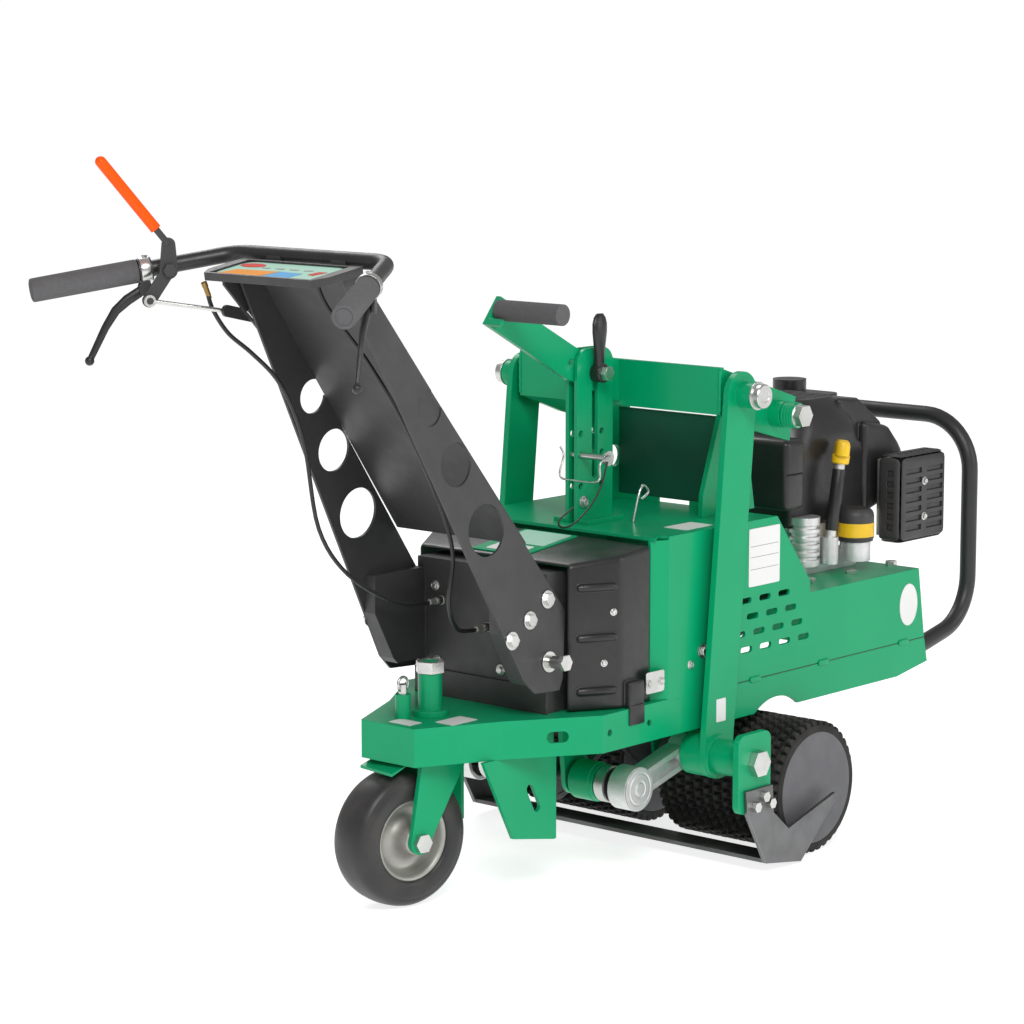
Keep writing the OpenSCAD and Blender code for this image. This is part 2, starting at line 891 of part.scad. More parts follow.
// Floor with the drum's and the eccentric's hangers, and the lower brackets behind them
module drive_frame() color(GREEN) {
    difference() {
        layer(floor_z, sheet) translate([plat_front_x, -inner_half])
            square([floor_front_x - plat_front_x, 2 * inner_half]);
        post(gear_x, input_y, floor_z - over, sheet + 2 * over, gear_shaft_r + gear_shaft_gap);
    }
    both_sides() {
        slab(hanger_y, hanger_t) difference() {
            link_outline([drum_x, drum_z], [drum_x, floor_z - hanger_top_w / 2], axle_r + hanger_eye,
                         hanger_top_w / 2);
            translate([drum_x, drum_z]) circle(axle_r + run_fit);
            translate([drum_x - hanger_top_w, floor_z]) square(2 * hanger_top_w);
        }
        slab(ecc_hanger_y, ecc_hanger_t) difference() {
            union() {
                translate([ecc_x, ecc_z]) circle(ecc_r + hanger_eye);
                polygon([
                    [ecc_x - ecc_r - hanger_eye, ecc_z], [ecc_x + ecc_r + hanger_eye, ecc_z],
                    [ecc_x + ecc_r + hanger_eye, plat_z - sheet],
                    [ecc_x - ecc_r - 2 * hanger_eye, plat_z - sheet]]);
            }
            translate([ecc_x, ecc_z]) circle(ecc_r + run_fit);
        }
        slab(bracket_y, bracket_t) difference() {
            polygon([
                bracket_heel, [bracket_front_x, bracket_toe_z], [bracket_front_x, plat_z - sheet],
                [bracket_step_x, plat_z - sheet], [bracket_step_x, rail_low_z], [bracket_rear_x, rail_low_z]]);
            translate([(bracket_heel.x + bracket_front_x) / 2, (bracket_toe_z + rail_low_z) / 2])
                rotate(atan2(rail_low_z - bracket_heel.y, bracket_rear_x - bracket_heel.x))
                slot(bracket_slot_len, bracket_slot_w);
        }
        translate([bracket_front_x, bracket_y - bracket_flange, bracket_toe_z])
            cube([bracket_t, bracket_flange + bracket_t, rail_low_z - bracket_toe_z]);
    }
}

// Rear box and cover

function column_face(z) = column_low_half - (z - column_bolt_z) * tan(column_tilt);

module rear_box() color(BLACK) {
    difference() {
        layer(plat_z, box_top_z - plat_z) translate([box_rear_x, -box_half])
            square([box_front_x - box_rear_x, 2 * box_half]);
        layer(plat_z - over, box_top_z - plat_z - box_t + over)
            translate([box_rear_x + box_t, box_t - box_half])
            square([box_front_x - box_rear_x, 2 * (box_half - box_t)]);
    }
    translate([box_rear_x - box_t, -box_flange_half, plat_z])
        cube([box_t, 2 * box_flange_half, box_flange_h]);
    // Cheeks that the handle column bolts to
    inner = column_t / cos(column_tilt) + seat_fit;
    both_sides() intersection() {
        translate([column_bolt_at[2].x - 2 * bolt_r, 0, 0]) rotate([90, 0, 90])
            linear_extrude(box_rear_x - column_bolt_at[2].x + 2 * bolt_r)
            polygon([
                [cheek_in, column_toe_front.y], [column_face(column_toe_front.y) - inner, column_toe_front.y],
                [column_face(column_bolt_z + 2 * bolt_r) - inner, column_bolt_z + 2 * bolt_r],
                [cheek_in, column_bolt_z + 2 * bolt_r]]);
        slab(0, 2 * column_low_half) column_outline();
    }
    // Cable stops
    for (p = [cable_left_route, cable_right_route]) {
        end = p[len(p) - 1];
        bar([end.x + air, end.y, end.z], [box_rear_x, end.y, end.z], cable_stop_r);
    }
}

function cover_plan(rear, front) = [
    [rear, -cover_rear_half], [cover_mid_x, -cover_mid_half], [front, -cover_front_half],
    [front, cover_front_half], [cover_mid_x, cover_mid_half], [rear, cover_rear_half]];

module cover_side(drop) slab(-half_w, 2 * half_w) polygon([
    [cover_rear_x - 2 * over, plat_z - over], [cover_front_x + 2 * over, plat_z - over],
    [cover_front_x + 2 * over, cover_front_z - drop], [cover_rear_x - 2 * over, cover_rear_z - drop]]);

module belt_cover() color(BLACK) {
    difference() {
        intersection() {
            layer(plat_z, top_z - plat_z) polygon(cover_plan(cover_rear_x, cover_front_x));
            cover_side(0);
        }
        intersection() {
            layer(plat_z - over, top_z - plat_z) polygon(inset_poly(
                cover_plan(cover_rear_x - 2 * cover_t, cover_front_x + 2 * cover_t), cover_t));
            cover_side(cover_t);
        }
    }
    a = [cover_rear_x, -cover_rear_half];
    b = [cover_mid_x, -cover_mid_half];
    d = unit(b - a);
    into = cover_t / 2 * [-d.y, d.x];
    both_sides() for (s = cover_rib_z_share) {
        z = plat_z + s * (cover_rear_z - plat_z);
        p = a + cover_rib_ends_share[0] * (b - a);
        q = a + cover_rib_ends_share[1] * (b - a);
        out = -2 * cover_rib_r / cover_t * into;
        slope = cover_rib_r * d;
        layer(z - cover_rib_r, 2 * cover_rib_r)
            polygon([p + into, p + out + slope, q + out - slope, q + into]);
    }
}

module hood_plate() color(GREEN) {
    lean = atan((cover_front_z - cover_rear_z) / (cover_front_x - cover_rear_x + 4 * over));
    translate([cover_rear_x - 2 * over, 0, cover_rear_z]) rotate([0, -lean, 0])
        translate([hood_plate_inset, -hood_plate_half, 0])
            cube([hood_plate_len, 2 * hood_plate_half, hood_plate_t]);
}

// Handle column

module column_outline() polygon([
    column_rear_top, column_heel_rear, column_heel_low, column_toe_low, column_toe_front, column_front_low,
    column_front_top]);

// Frame whose XZ plane is the outer face of the left column plate
module on_column() translate([0, column_low_half, column_bolt_z]) rotate([column_tilt, 0, 0])
    translate([0, 0, -column_bolt_z]) children();

module handle_plates() color(BLACK) both_sides() on_column() slab(-column_t, column_t) difference() {
    column_outline();
    for (i = [0:len(column_hole_at) - 1]) translate(column_hole_at[i]) circle(column_hole_r[i]);
}

module handle_web() color(BLACK) {
    run = web_high - web_low;
    inner = column_t / cos(column_tilt) + seat_fit;
    low = column_face(web_low.y) - inner;
    high = column_face(web_high.y) - inner;
    translate([web_low.x, 0, web_low.y]) rotate([0, -atan2(run.y, run.x), 0])
        linear_extrude(web_t) polygon([[0, -low], [norm(run), -high], [norm(run), high], [0, low]]);
}

module fasteners() color(ZINC) {
    both_sides() {
        on_column() {
            for (p = column_bolt_at) hex_y(p.x, p.y, 0, bolt_t, bolt_r);
            peg(column_pivot_at.x, column_pivot_at.y, 0, pivot_bolt_len, bolt_r);
            hex_y(column_pivot_at.x, column_pivot_at.y, pivot_bolt_len, bolt_t, pivot_bolt_r);
        }
        for (x = deck_bolt_x) translate([x, deck_bolt_y, deck_z]) cylinder(h = bolt_t, r = bolt_r, $fn = 6);
    }
}

// Tray, with the strut bracket that hangs under its left side
module control_tray() color(BLACK) {
    translate([tray_rear_x, 0, tray_z]) rotate([0, -tray_tilt, 0]) difference() {
        linear_extrude(tray_h) polygon([
            [0, -tray_rear_half], [tray_len / 4, -tray_half], [tray_len, -tray_half], [tray_len, tray_half],
            [tray_len / 4, tray_half], [0, tray_rear_half]]);
        translate([tray_rim, tray_rim - tray_rear_half, tray_h - tray_recess])
            cube([tray_len - 2 * tray_rim, 2 * (tray_rear_half - tray_rim), tray_h]);
    }
    difference() {
        slab(bracket_plate_y, bracket_plate_t) difference() {
            polygon([
                bracket_plate_knee, bracket_plate_low, bracket_plate_toe, bracket_plate_front,
                bracket_plate_top]);
            translate((strut_low + strut_high) / 2)
                rotate(atan2(strut_high.y - strut_low.y, strut_high.x - strut_low.x))
                slot(norm(strut_high - strut_low), strut_slot_w);
        }
        translate([tray_rear_x, 0, tray_z]) rotate([0, -tray_tilt, 0])
            translate([0, -tray_half, 0]) cube([2 * tray_len, 3 * tray_half, 2 * tray_h]);
    }
    slab(bracket_plate_y + bracket_plate_t, bracket_plate_t)
        link_outline(link_bracket_front, [link_end.x, link_end.z], link_eye_r, link_eye_r);
}

// Handlebar and what is clamped to it

bar_corner = [bar_x, bar_half, bar_z];
bar_dir = unit(bar_end - bar_corner);
grip_root = bar_end - grip_len * bar_dir;

module handlebar() color(BLACK) cord(bent_path([
    bar_end, bar_corner, [bar_x, -bar_half, bar_z], [bar_end.x, -bar_end.y, bar_end.z]], bar_bend_r),
    bar_d / 2, bar_sides, [0, 0, 1]);

module grips() color(RUBBER) both_sides() difference() {
    bar(grip_root, bar_end + perch_wall * bar_dir, grip_d / 2);
    bar(grip_root - over * bar_dir, bar_end, bar_d / 2 + run_fit);
}

// Frame at a lever's pivot: X along the bar to its end, Y level across it, Z up
perch_at = grip_root - (perch_len / 2 + air) * bar_dir;
lever_pivot = perch_at - [0, 0, perch_drop];
lever_yaw = atan2(bar_dir.y, bar_dir.x);

module at_lever() translate(lever_pivot) rotate([0, 0, lever_yaw]) children();

module bar_fittings() color(BLACK) {
    both_sides() {
        difference() {
            union() {
                bar(perch_at - perch_len / 2 * bar_dir, perch_at + perch_len / 2 * bar_dir,
                    bar_d / 2 + perch_wall);
                at_lever() for (s = [0, 1]) mirror([0, s, 0]) slab(perch_gap / 2, perch_cheek_t)
                    link_outline([0, 0], [0, perch_drop - bar_d / 2], lever_boss_r, lever_boss_r / 2);
                at_lever() peg(0, 0, -perch_gap / 2, perch_gap, lever_pivot_r);
            }
            bar(perch_at - perch_len * bar_dir, perch_at + perch_len * bar_dir, bar_d / 2 + run_fit);
        }
        translate([bar_x - saddle_len / 2, saddle_y - saddle_w / 2, bar_z - saddle_h]) difference() {
            cube([saddle_len, saddle_w, saddle_h]);
            translate([saddle_len / 2, -over, saddle_h]) rotate([-90, 0, 0])
                cylinder(h = saddle_w + 2 * over, r = bar_d / 2 + run_fit);
        }
    }
    // Bracket that carries the engagement lever beside the left bar
    difference() {
        at_speed() {
            peg(0, 0, speed_plate_t / 2 + air, speed_offset - bar_d / 2 - speed_plate_t / 2, speed_boss_r);
            peg(0, 0, -speed_plate_t / 2 - air, speed_plate_t + 3 * air, speed_pin_r);
            hex_y(0, 0, -speed_plate_t / 2 - air - bolt_t, bolt_t, bolt_r);
        }
        bar(bar_corner, bar_end, bar_d / 2 + run_fit);
    }
}

// Bent lever that swells into a ball at its tip
module hand_lever() {
    r = lever_bar_r - 2 * air;
    elbow = [lever_elbow_out, 0, -lever_elbow_drop];
    tip = [lever_tip_out, 0, -lever_tip_drop];
    d = unit(tip - elbow);
    neck = asin(r / lever_ball_r);
    ball_at = [for (k = [0:lever_ball_steps]) neck + (180 - 2 * neck) * k / lever_ball_steps];
    stem = bent_path([
        (lever_boss_r + lever_pivot_r) / 2 * unit(elbow), elbow, tip - lever_ball_r * cos(neck) * d],
        lever_elbow_drop);
    ball = [for (k = [1:lever_ball_steps]) tip - lever_ball_r * cos(ball_at[k]) * d];
    radii = concat(
        [for (q = stem) r],
        [for (k = [1:lever_ball_steps]) lever_ball_r * sin(ball_at[k])]);
    collar(0, 0, air - perch_gap / 2, perch_gap - 2 * air, lever_boss_r, lever_pivot_r + run_fit);
    cord(concat(stem, ball), radii, lever_sides);
}

module brake_lever_left() color(BLACK) at_lever() hand_lever();

module brake_lever_right() color(BLACK) mirror([0, 1, 0]) at_lever() hand_lever();

// Engagement lever: X along the bar, Y across it towards the bar, Z up
bar_near = bar_corner + bar_dir * ((speed_pivot - bar_corner) * bar_dir);
speed_offset = norm([bar_near.x - speed_pivot.x, bar_near.y - speed_pivot.y]);

module at_speed() translate(speed_pivot) rotate([0, 0, lever_yaw + 180]) mirror([1, 0, 0]) children();

module speed_lever() color(BLACK) at_speed() {
    difference() {
        slab(-speed_plate_t / 2, speed_plate_t) {
            link_outline([0, 0], speed_foot, speed_plate_w / 2, speed_plate_w / 2);
            link_outline([0, 0], [0, speed_elbow_h], speed_boss_r, speed_plate_w / 2);
        }
        peg(0, 0, -speed_plate_t, 2 * speed_plate_t, speed_pin_r + run_fit);
    }
    difference() {
        bar([0, 0, speed_elbow_h], [speed_tip.x, 0, speed_tip.y], speed_rod_r);
        peg(0, 0, -speed_plate_t, 2 * speed_plate_t, speed_elbow_h - speed_rod_r);
    }
    peg(speed_foot.x, speed_foot.y, -speed_plate_t / 2 - link_eye_t - 2 * air, link_eye_t + 2 * air,
        speed_rod_r);
}

module lever_sleeve() color(ORANGE) at_speed() {
    a = [speed_sleeve_low.x, 0, speed_sleeve_low.y];
    root = [0, 0, speed_elbow_h];
    tip = [speed_tip.x, 0, speed_tip.y];
    d = unit(tip - root);
    start = root + d * norm(a - root);
    length = norm(tip - start);
    bore = speed_rod_r + run_fit;
    aimed(start, tip) rotate_extrude() polygon(concat(
        [[0, length], [bore, length], [bore, 0], [speed_sleeve_r, 0]],
        arc([0, length], speed_sleeve_r, 0, 90, speed_sleeve_steps)));
}

// Eye of the link rod on the lever's foot, in the machine's frame
speed_side = [-sin(lever_yaw), cos(lever_yaw), 0];
link_start = speed_pivot + speed_foot.x * [cos(lever_yaw), sin(lever_yaw), 0] + [0, 0, speed_foot.y]
    + (speed_plate_t / 2 + air + link_eye_t / 2) * speed_side;

module link_rod() color(ZINC) difference() {
    union() {
        bar(link_start - link_eye_t / 2 * speed_side, link_start + link_eye_t / 2 * speed_side, link_eye_r);
        bar(link_start, link_end, link_r);
    }
    bar(link_start - link_eye_t * speed_side, link_start + link_eye_t * speed_side, speed_rod_r + run_fit);
}

module control_cables() color(RUBBER) {
    cord(curve(cable_left_route, cable_steps), cable_r);
    cord(curve(cable_right_route, cable_steps), cable_r);
}

// Depth control

module depth_guide() color(GREEN) both_sides() {
    slab(guide_y, guide_t) difference() {
        union() {
            translate([guide_rear_x, top_z]) square([guide_w, guide_h - guide_corner_r]);
            translate([guide_rear_x, top_z]) round_rect(guide_w, guide_h, guide_corner_r);
        }
        translate([guide_slot_x, guide_slot_low_z + guide_slot_len / 2]) rotate(90)
            slot(guide_slot_len, guide_slot_w);
        for (x = guide_hole_x, h = guide_hole_rise) translate([x, top_z + h]) circle(guide_hole_r);
    }
    translate([guide_rear_x, guide_y + guide_t, top_z]) cube([guide_w, guide_foot_w, guide_t]);
}

module depth_pin() color(ZINC) {
    z = top_z + guide_hole_rise[1];
    peg(guide_hole_x[0], z, -guide_y - guide_t - pin_out, guide_y + guide_t + pin_out + pin_back, pin_r);
    peg(guide_hole_x[0], z, -guide_y - guide_t - pin_out, pin_ring_t, pin_ring_r);
}

module clamp_bolt() color(ZINC) {
    face = guide_y + guide_t + air;
    reach = face + clamp_hub_t + clamp_head_t;
    peg(guide_slot_x, clamp_z, -reach, face + reach, clamp_r);
    hex_y(guide_slot_x, clamp_z, face, clamp_head_t, clamp_head_r);
    hex_y(guide_slot_x, clamp_z, -reach - air, clamp_head_t, clamp_head_r);
}

module clamp_handle() color(BLACK) {
    face = guide_y + guide_t + air;
    difference() {
        union() {
            peg(guide_slot_x, clamp_z, -face - clamp_hub_t, clamp_hub_t, clamp_hub_r);
            bar([guide_slot_x, -face - clamp_hub_t / 2, clamp_z],
                [guide_slot_x, -face - clamp_hub_t / 2, clamp_z + clamp_handle_h - clamp_handle_r],
                clamp_handle_r);
            translate([guide_slot_x, -face - clamp_hub_t / 2, clamp_z + clamp_handle_h - clamp_handle_r])
                sphere(clamp_handle_r);
        }
        peg(guide_slot_x, clamp_z, -face - clamp_hub_t - over, clamp_hub_t + 2 * over, clamp_r + run_fit);
    }
}

module depth_lever() color(GREEN) {
    difference() {
        slab(-lever_t / 2, lever_t) polygon([
            lever_tip_low, lever_waist_low, [beam_x, beam_low_z + sheet], [beam_x, beam_top_z],
            lever_waist_top, lever_tip_top]);
        peg(lever_hole.x, lever_hole.y, -lever_t, 2 * lever_t, lever_hole_r);
        slab(-lever_t, 2 * lever_t) translate([guide_slot_x, clamp_z]) slot(lever_slot_len, lever_slot_w);
    }
    d = unit(lever_tip_top - lever_tip_low);
    bar([depth_grip_at.x, -lever_t / 2, depth_grip_at.y],
        [depth_grip_at.x, -lever_t / 2 - depth_grip_len, depth_grip_at.y], lever_rod_r);
    lip = depth_grip_d * lever_lip_share * d;
    slab(-lever_t / 2 - lever_flange_w, lever_flange_w) polygon([
        lever_tip_low, lever_tip_low + lever_flange_t * [d.y, -d.x],
        lever_tip_low + lever_flange_t * [d.y, -d.x] + lip, lever_tip_low + lip]);
}

module depth_grip() color(RUBBER) difference() {
    outer = -lever_t / 2 - depth_grip_len - sheet;
    inner = -lever_t / 2 - grip_gap;
    peg(depth_grip_at.x, depth_grip_at.y, outer, inner - outer, depth_grip_d / 2);
    peg(depth_grip_at.x, depth_grip_at.y, -lever_t / 2 - depth_grip_len, depth_grip_len + over,
        lever_rod_r + run_fit);
}

module yoke() color(GREEN) {
    difference() {
        union() {
            both_sides() {
                slab(yoke_in, yoke_t) polygon([
                    [beam_x, beam_low_z], yoke_belly, yoke_front_low, yoke_front_top, [beam_x, beam_top_z]]);
                peg(yoke_x, yoke_z, yoke_out, collar_len, collar_r);
            }
            translate([beam_x, -yoke_out, beam_low_z]) cube([beam_t, 2 * yoke_out, beam_top_z - beam_low_z]);
        }
        peg(yoke_x, yoke_z, -2 * yoke_out, 4 * yoke_out, shaft_r + run_fit);
    }
    both_sides() {
        peg(hang_x, hang_z, yoke_out, hang_pin_len, shaft_r);
        hex_y(hang_x, hang_z, bush_in + bush_len + 2 * air, nut_len, nut_r);
    }
}

// Blade carriage

module hanger_bushes() color(BRONZE) both_sides()
    collar(hang_x, hang_z, bush_in, bush_len, bush_r, shaft_r + run_fit);

module blade_arms() color(GREEN) both_sides() {
    difference() {
        union() {
            slab(arm_in, arm_t) link_outline([hang_x, hang_z], [low_x, low_z], arm_w / 2, arm_w / 2);
            peg(hang_x, hang_z, bush_in + air, boss_out - bush_in - 2 * air, boss_r);
        }
        peg(hang_x, hang_z, yoke_out - over, boss_out, bush_r + run_fit);
    }
    peg(low_x, low_z, sleeve_in, sleeve_collar_len, sleeve_collar_r);
    peg(low_x, low_z, sleeve_in, tab_in - sleeve_in, sleeve_r);
    peg(low_x, low_z, rod_in - rod_washer_t, sleeve_in - rod_in + rod_washer_t, rod_pin_r);
    peg(low_x, low_z, rod_in - rod_washer_t - air, rod_washer_t, rod_washer_r);
    slab(tab_in, tab_t) translate([tab_low_x, tab_low_z]) round_rect(tab_w, tab_h, tab_corner_r);
}

module blade() color(STEEL) {
    both_sides() slab(blade_in, blade_t) polygon([
        [blade_rear_x, blade_top_z], blade_back, blade_heel, blade_lip, blade_horn_tip, blade_horn_top,
        blade_hook, blade_neck, [blade_neck_x, blade_top_z]]);
    slab(-blade_out, 2 * blade_out) polygon(strip([blade_lip, blade_heel], blade_t));
}

module blade_bolts() color(ZINC) both_sides() {
    for (p = tab_bolt_at) hex_y(p.x, p.y, blade_out, tab_bolt_t, tab_bolt_r);
    hex_y(low_x, low_z, blade_in, big_bolt_t, big_bolt_r);
}

module connecting_rods() color(CAST) both_sides() {
    a = [ecc_x, ecc_z];
    b = [low_x, low_z];
    difference() {
        union() {
            slab(rod_in, rod_len_y - 2 * air) {
                translate(a) circle(big_r);
                translate(b) circle(small_r);
            }
            slab(rod_in + rod_len_y / 2 - rod_web_t / 2, rod_web_t)
                link_outline(a, b, rod_shank_w / 2, rod_shank_w / 2);
            slab(rod_in, rod_len_y - 2 * air) difference() {
                link_outline(a, b, rod_shank_w / 2, rod_shank_w / 2);
                link_outline(a, b, rod_shank_w / 2 - rod_web_t, rod_shank_w / 2 - rod_web_t);
            }
        }
        peg(a.x, a.y, rod_in - over, rod_len_y + 2 * over, big_bore_r);
        peg(b.x, b.y, rod_in - over, rod_len_y + 2 * over, rod_pin_r + run_fit);
    }
    peg(a.x, a.y, rod_in + rod_len_y - 2 * air, rod_cap_t, big_r);
}

module eccentric_shaft() color(STEEL) {
    peg(ecc_x, ecc_z, -ecc_main_half, 2 * ecc_main_half, ecc_r);
    both_sides() {
        peg(ecc_x, ecc_z, ecc_collar_in, ecc_collar_len, ecc_collar_r);
        peg(ecc_x + throw, ecc_z, ecc_main_half, rod_in + rod_len_y - 4 * air - ecc_main_half, journal_r);
    }
    slab(sprocket_ecc_y, sprocket_t) translate([ecc_x, ecc_z]) circle(ecc_sprocket_r);
}

// Drum

module drum_core() color(STEEL) {
    peg(drum_x, drum_z, -drum_half, 2 * drum_half, axle_r);
    both_sides() {
        collar(drum_x, drum_z, drum_gap, drum_half - drum_gap, shell_r, shell_r - shell_t);
        for (y = [drum_gap, drum_half - disc_t]) peg(drum_x, drum_z, y, disc_t, shell_r - shell_t / 2);
    }
    slab(sprocket_drum_y, sprocket_t) translate([drum_x, drum_z]) circle(drum_sprocket_r);
}

module drum_treads() color(RUBBER) {
    pitch = (drum_half - drum_gap) / lug_bands;
    both_sides() difference() {
        union() {
            peg(drum_x, drum_z, drum_gap, drum_half - drum_gap, root_r);
            for (k = [0:lug_bands - 1])
                slab(drum_gap + pitch * (k + (1 - band_share) / 2), pitch * band_share)
                    translate([drum_x, drum_z])
                    polygon(lug_ring(lug_count, drum_d / 2, shell_r + tread_t / 2, lug_share, (k % 2) / 2));
        }
        peg(drum_x, drum_z, drum_gap - over, drum_half, shell_r + run_fit);
    }
}

// Gearbox and drives

module gearbox() color(CAST) difference() {
    union() {
        translate([gear_box_x, gear_box_y, floor_z - gear_box_h]) cube([gear_box_w, gear_box_d, gear_box_h]);
        peg(gear_x, gear_z, gear_box_y - gear_bolt_r, gear_box_d + gear_bolt_r, gear_sprocket_r);
    }
    peg(gear_x, gear_z, -gear_box_d, 3 * gear_box_d, gear_shaft_r + run_fit);
    post(gear_x, input_y, gear_z, gear_box_h, gear_shaft_r + run_fit);
}

module gear_shaft() color(STEEL) {
    peg(gear_x, gear_z, sprocket_ecc_y - gear_bolt_r, gear_box_y + gear_box_d - sprocket_ecc_y + gear_bolt_r,
        gear_shaft_r);
    for (y = [sprocket_drum_y, sprocket_ecc_y])
        slab(y, sprocket_t) translate([gear_x, gear_z]) circle(gear_sprocket_r);
}

module drive_chains() color(STEEL) {
    pad = (chain_w - sprocket_t) / 2;
    slab(sprocket_drum_y - pad, chain_w)
        loop_outline([drum_x, drum_z], [gear_x, gear_z], drum_sprocket_r + air, gear_sprocket_r + air,
                     chain_t);
    slab(sprocket_ecc_y - pad, chain_w)
        loop_outline([ecc_x, ecc_z], [gear_x, gear_z], ecc_sprocket_r + air, gear_sprocket_r + air, chain_t);
}

module pulley(r) difference() {
    cylinder(h = pulley_h, r = r);
    translate([0, 0, (pulley_h - groove_w) / 2]) difference() {
        cylinder(h = groove_w, r = r + over);
        cylinder(h = groove_w, r = r - pulley_groove);
    }
}

module input_pulley() color(STEEL) {
    post(gear_x, input_y, gear_z + gear_shaft_r + air, pulley_z - gear_z - gear_shaft_r, gear_shaft_r);
    translate([gear_x, input_y, pulley_z]) pulley(input_pulley_r);
}

module engine_pulley() color(STEEL) {
    post(engine_x, 0, pulley_z, deck_z - pulley_z - air, crank_r);
    translate([engine_x, 0, pulley_z]) pulley(engine_pulley_r);
}

module drive_belt() color(RUBBER) layer(pulley_z + (pulley_h - belt_w) / 2, belt_w)
    loop_outline([gear_x, input_y], [engine_x, 0], input_pulley_r - pulley_groove + air,
        engine_pulley_r - pulley_groove + air, belt_t);

// Caster

axle_z = tyre_d / 2;

module at_swivel() translate([swivel_x, 0, 0]) rotate([0, 0, caster_turn]) children();

module caster_fork() color(GREEN) at_swivel() {
    post(0, 0, crown_z, swivel_top_z + stem_nut_h - crown_z, stem_r);
    post(0, 0, crown_z, thrust_t, thrust_r);
    difference() {
        layer(crown_z - crown_t, crown_t) translate([crown_rear, -leg_in - leg_t])
            square([crown_front - crown_rear, 2 * (leg_in + leg_t)]);
        post(lock_at.x - swivel_x, lock_at.y, crown_z - crown_t - over, crown_t + 2 * over, lock_pin_r + air);
    }
    both_sides() slab(leg_in, leg_t) difference() {
        union() {
            translate([-caster_trail, axle_z]) circle(leg_eye_r);
            polygon([
                [-caster_trail - leg_eye_r, axle_z], [-caster_trail + leg_eye_r, axle_z],
                [crown_front, crown_z - crown_t], [crown_rear, crown_z - crown_t]]);
        }
        translate([-caster_trail, axle_z]) circle(caster_axle_r + run_fit);
    }
    slab(-flap_half, 2 * flap_half) polygon([
        [crown_rear, crown_z], [crown_rear, crown_z - crown_t],
        [crown_rear - flap_out, crown_z - flap_t - flap_drop], [crown_rear - flap_out, crown_z - flap_drop],
        [crown_rear - flap_fold, crown_z - flap_fold_drop]]);
}

module caster_hardware() color(ZINC) at_swivel() {
    difference() {
        post(0, 0, swivel_top_z + air, stem_nut_h, stem_nut_r, $fn = 6);
        post(0, 0, swivel_top_z, 2 * stem_nut_h, stem_r + run_fit, $fn = 48);
    }
    reach = leg_in + leg_t;
    peg(-caster_trail, axle_z, -reach, 2 * reach, caster_axle_r);
    both_sides() hex_y(-caster_trail, axle_z, reach, caster_head_t, caster_head_r);
}

module caster_rim() color(ZINC) at_swivel() translate([-caster_trail, 0, axle_z]) rotate([90, 0, 0])
    rotate_extrude() polygon([
        [caster_axle_r + run_fit, -leg_in + 2 * air], [hub_r, -leg_in + 2 * air], [hub_r, -spoke_t / 2],
        [rim_r - rim_wall, -spoke_t / 2], [rim_r - rim_wall, -rim_half], [rim_r, -rim_half],
        [rim_r, rim_half], [rim_r - rim_wall, rim_half], [rim_r - rim_wall, spoke_t / 2],
        [hub_r, spoke_t / 2], [hub_r, leg_in - 2 * air], [caster_axle_r + run_fit, leg_in - 2 * air]]);

module caster_tyre() color(RUBBER) at_swivel() translate([-caster_trail, 0, axle_z]) rotate([90, 0, 0])
    rotate_extrude() translate([rim_r + run_fit, -tyre_w / 2]) {
        wall = tyre_d / 2 - rim_r - run_fit;
        square([wall - tyre_round, tyre_w]);
        translate([0, tyre_round]) square([wall, tyre_w - 2 * tyre_round]);
        for (y = [tyre_round, tyre_w - tyre_round]) translate([wall - tyre_round, y]) circle(tyre_round);
    }

module lock_pin() color(ZINC) {
    post(lock_at.x, lock_at.y, crown_z + air, plat_z + lock_h + lock_head_h - crown_z - air, lock_pin_r);
    translate([lock_at.x, lock_at.y, plat_z + lock_h + lock_head_h]) rotate([90, 0, 0])
        rotate_extrude() translate([lock_ring_r, 0]) circle(lock_ring_t / 2);
}

// Engine

module crankcase() color(CAST) {
    layer(deck_z, case_flange_h) translate([case_rear_x, -case_half])
        round_rect(case_len, 2 * case_half, case_flange_h);
    post(engine_x, 0, deck_z, case_top_z - deck_z, case_r);
    post(fill_at.x, fill_at.y, deck_z + case_flange_h, fill_h - case_flange_h, fill_r);
    layer(deck_z + case_flange_h, case_flange_h) translate([fill_at.x - fill_r * boss_share, fill_at.y])
        square([2 * fill_r * boss_share, -fill_at.y]);
    post(filter_at.x, filter_at.y, deck_z + case_flange_h, filter_base_h - case_flange_h, filter_base_r);
    layer(deck_z + case_flange_h, case_flange_h)
        translate([filter_at.x - filter_base_r * boss_share, filter_at.y])
        square([2 * filter_base_r * boss_share, -filter_at.y]);
    tube_low = [fill_at.x, fill_at.y, deck_z + fill_h - fill_r];
    aimed(tube_low, tube_top) rotate([0, 0, 90]) cylinder(h = norm(tube_top - tube_low), r = tube_r);
}

module dipstick() color(YELLOW) {
    d = unit(tube_top - [fill_at.x, fill_at.y, deck_z + fill_h - fill_r]);
    difference() {
        bar(tube_top - cap_skirt * d, tube_top + (cap_h - cap_skirt) * d, cap_r);
        bar(tube_top - 2 * cap_skirt * d, tube_top + air * d, tube_r + 2 * run_fit);
    }
}

module oil_filter() color(BLACK)
    post(filter_at.x, filter_at.y, deck_z + filter_base_h, filter_h, filter_d / 2);

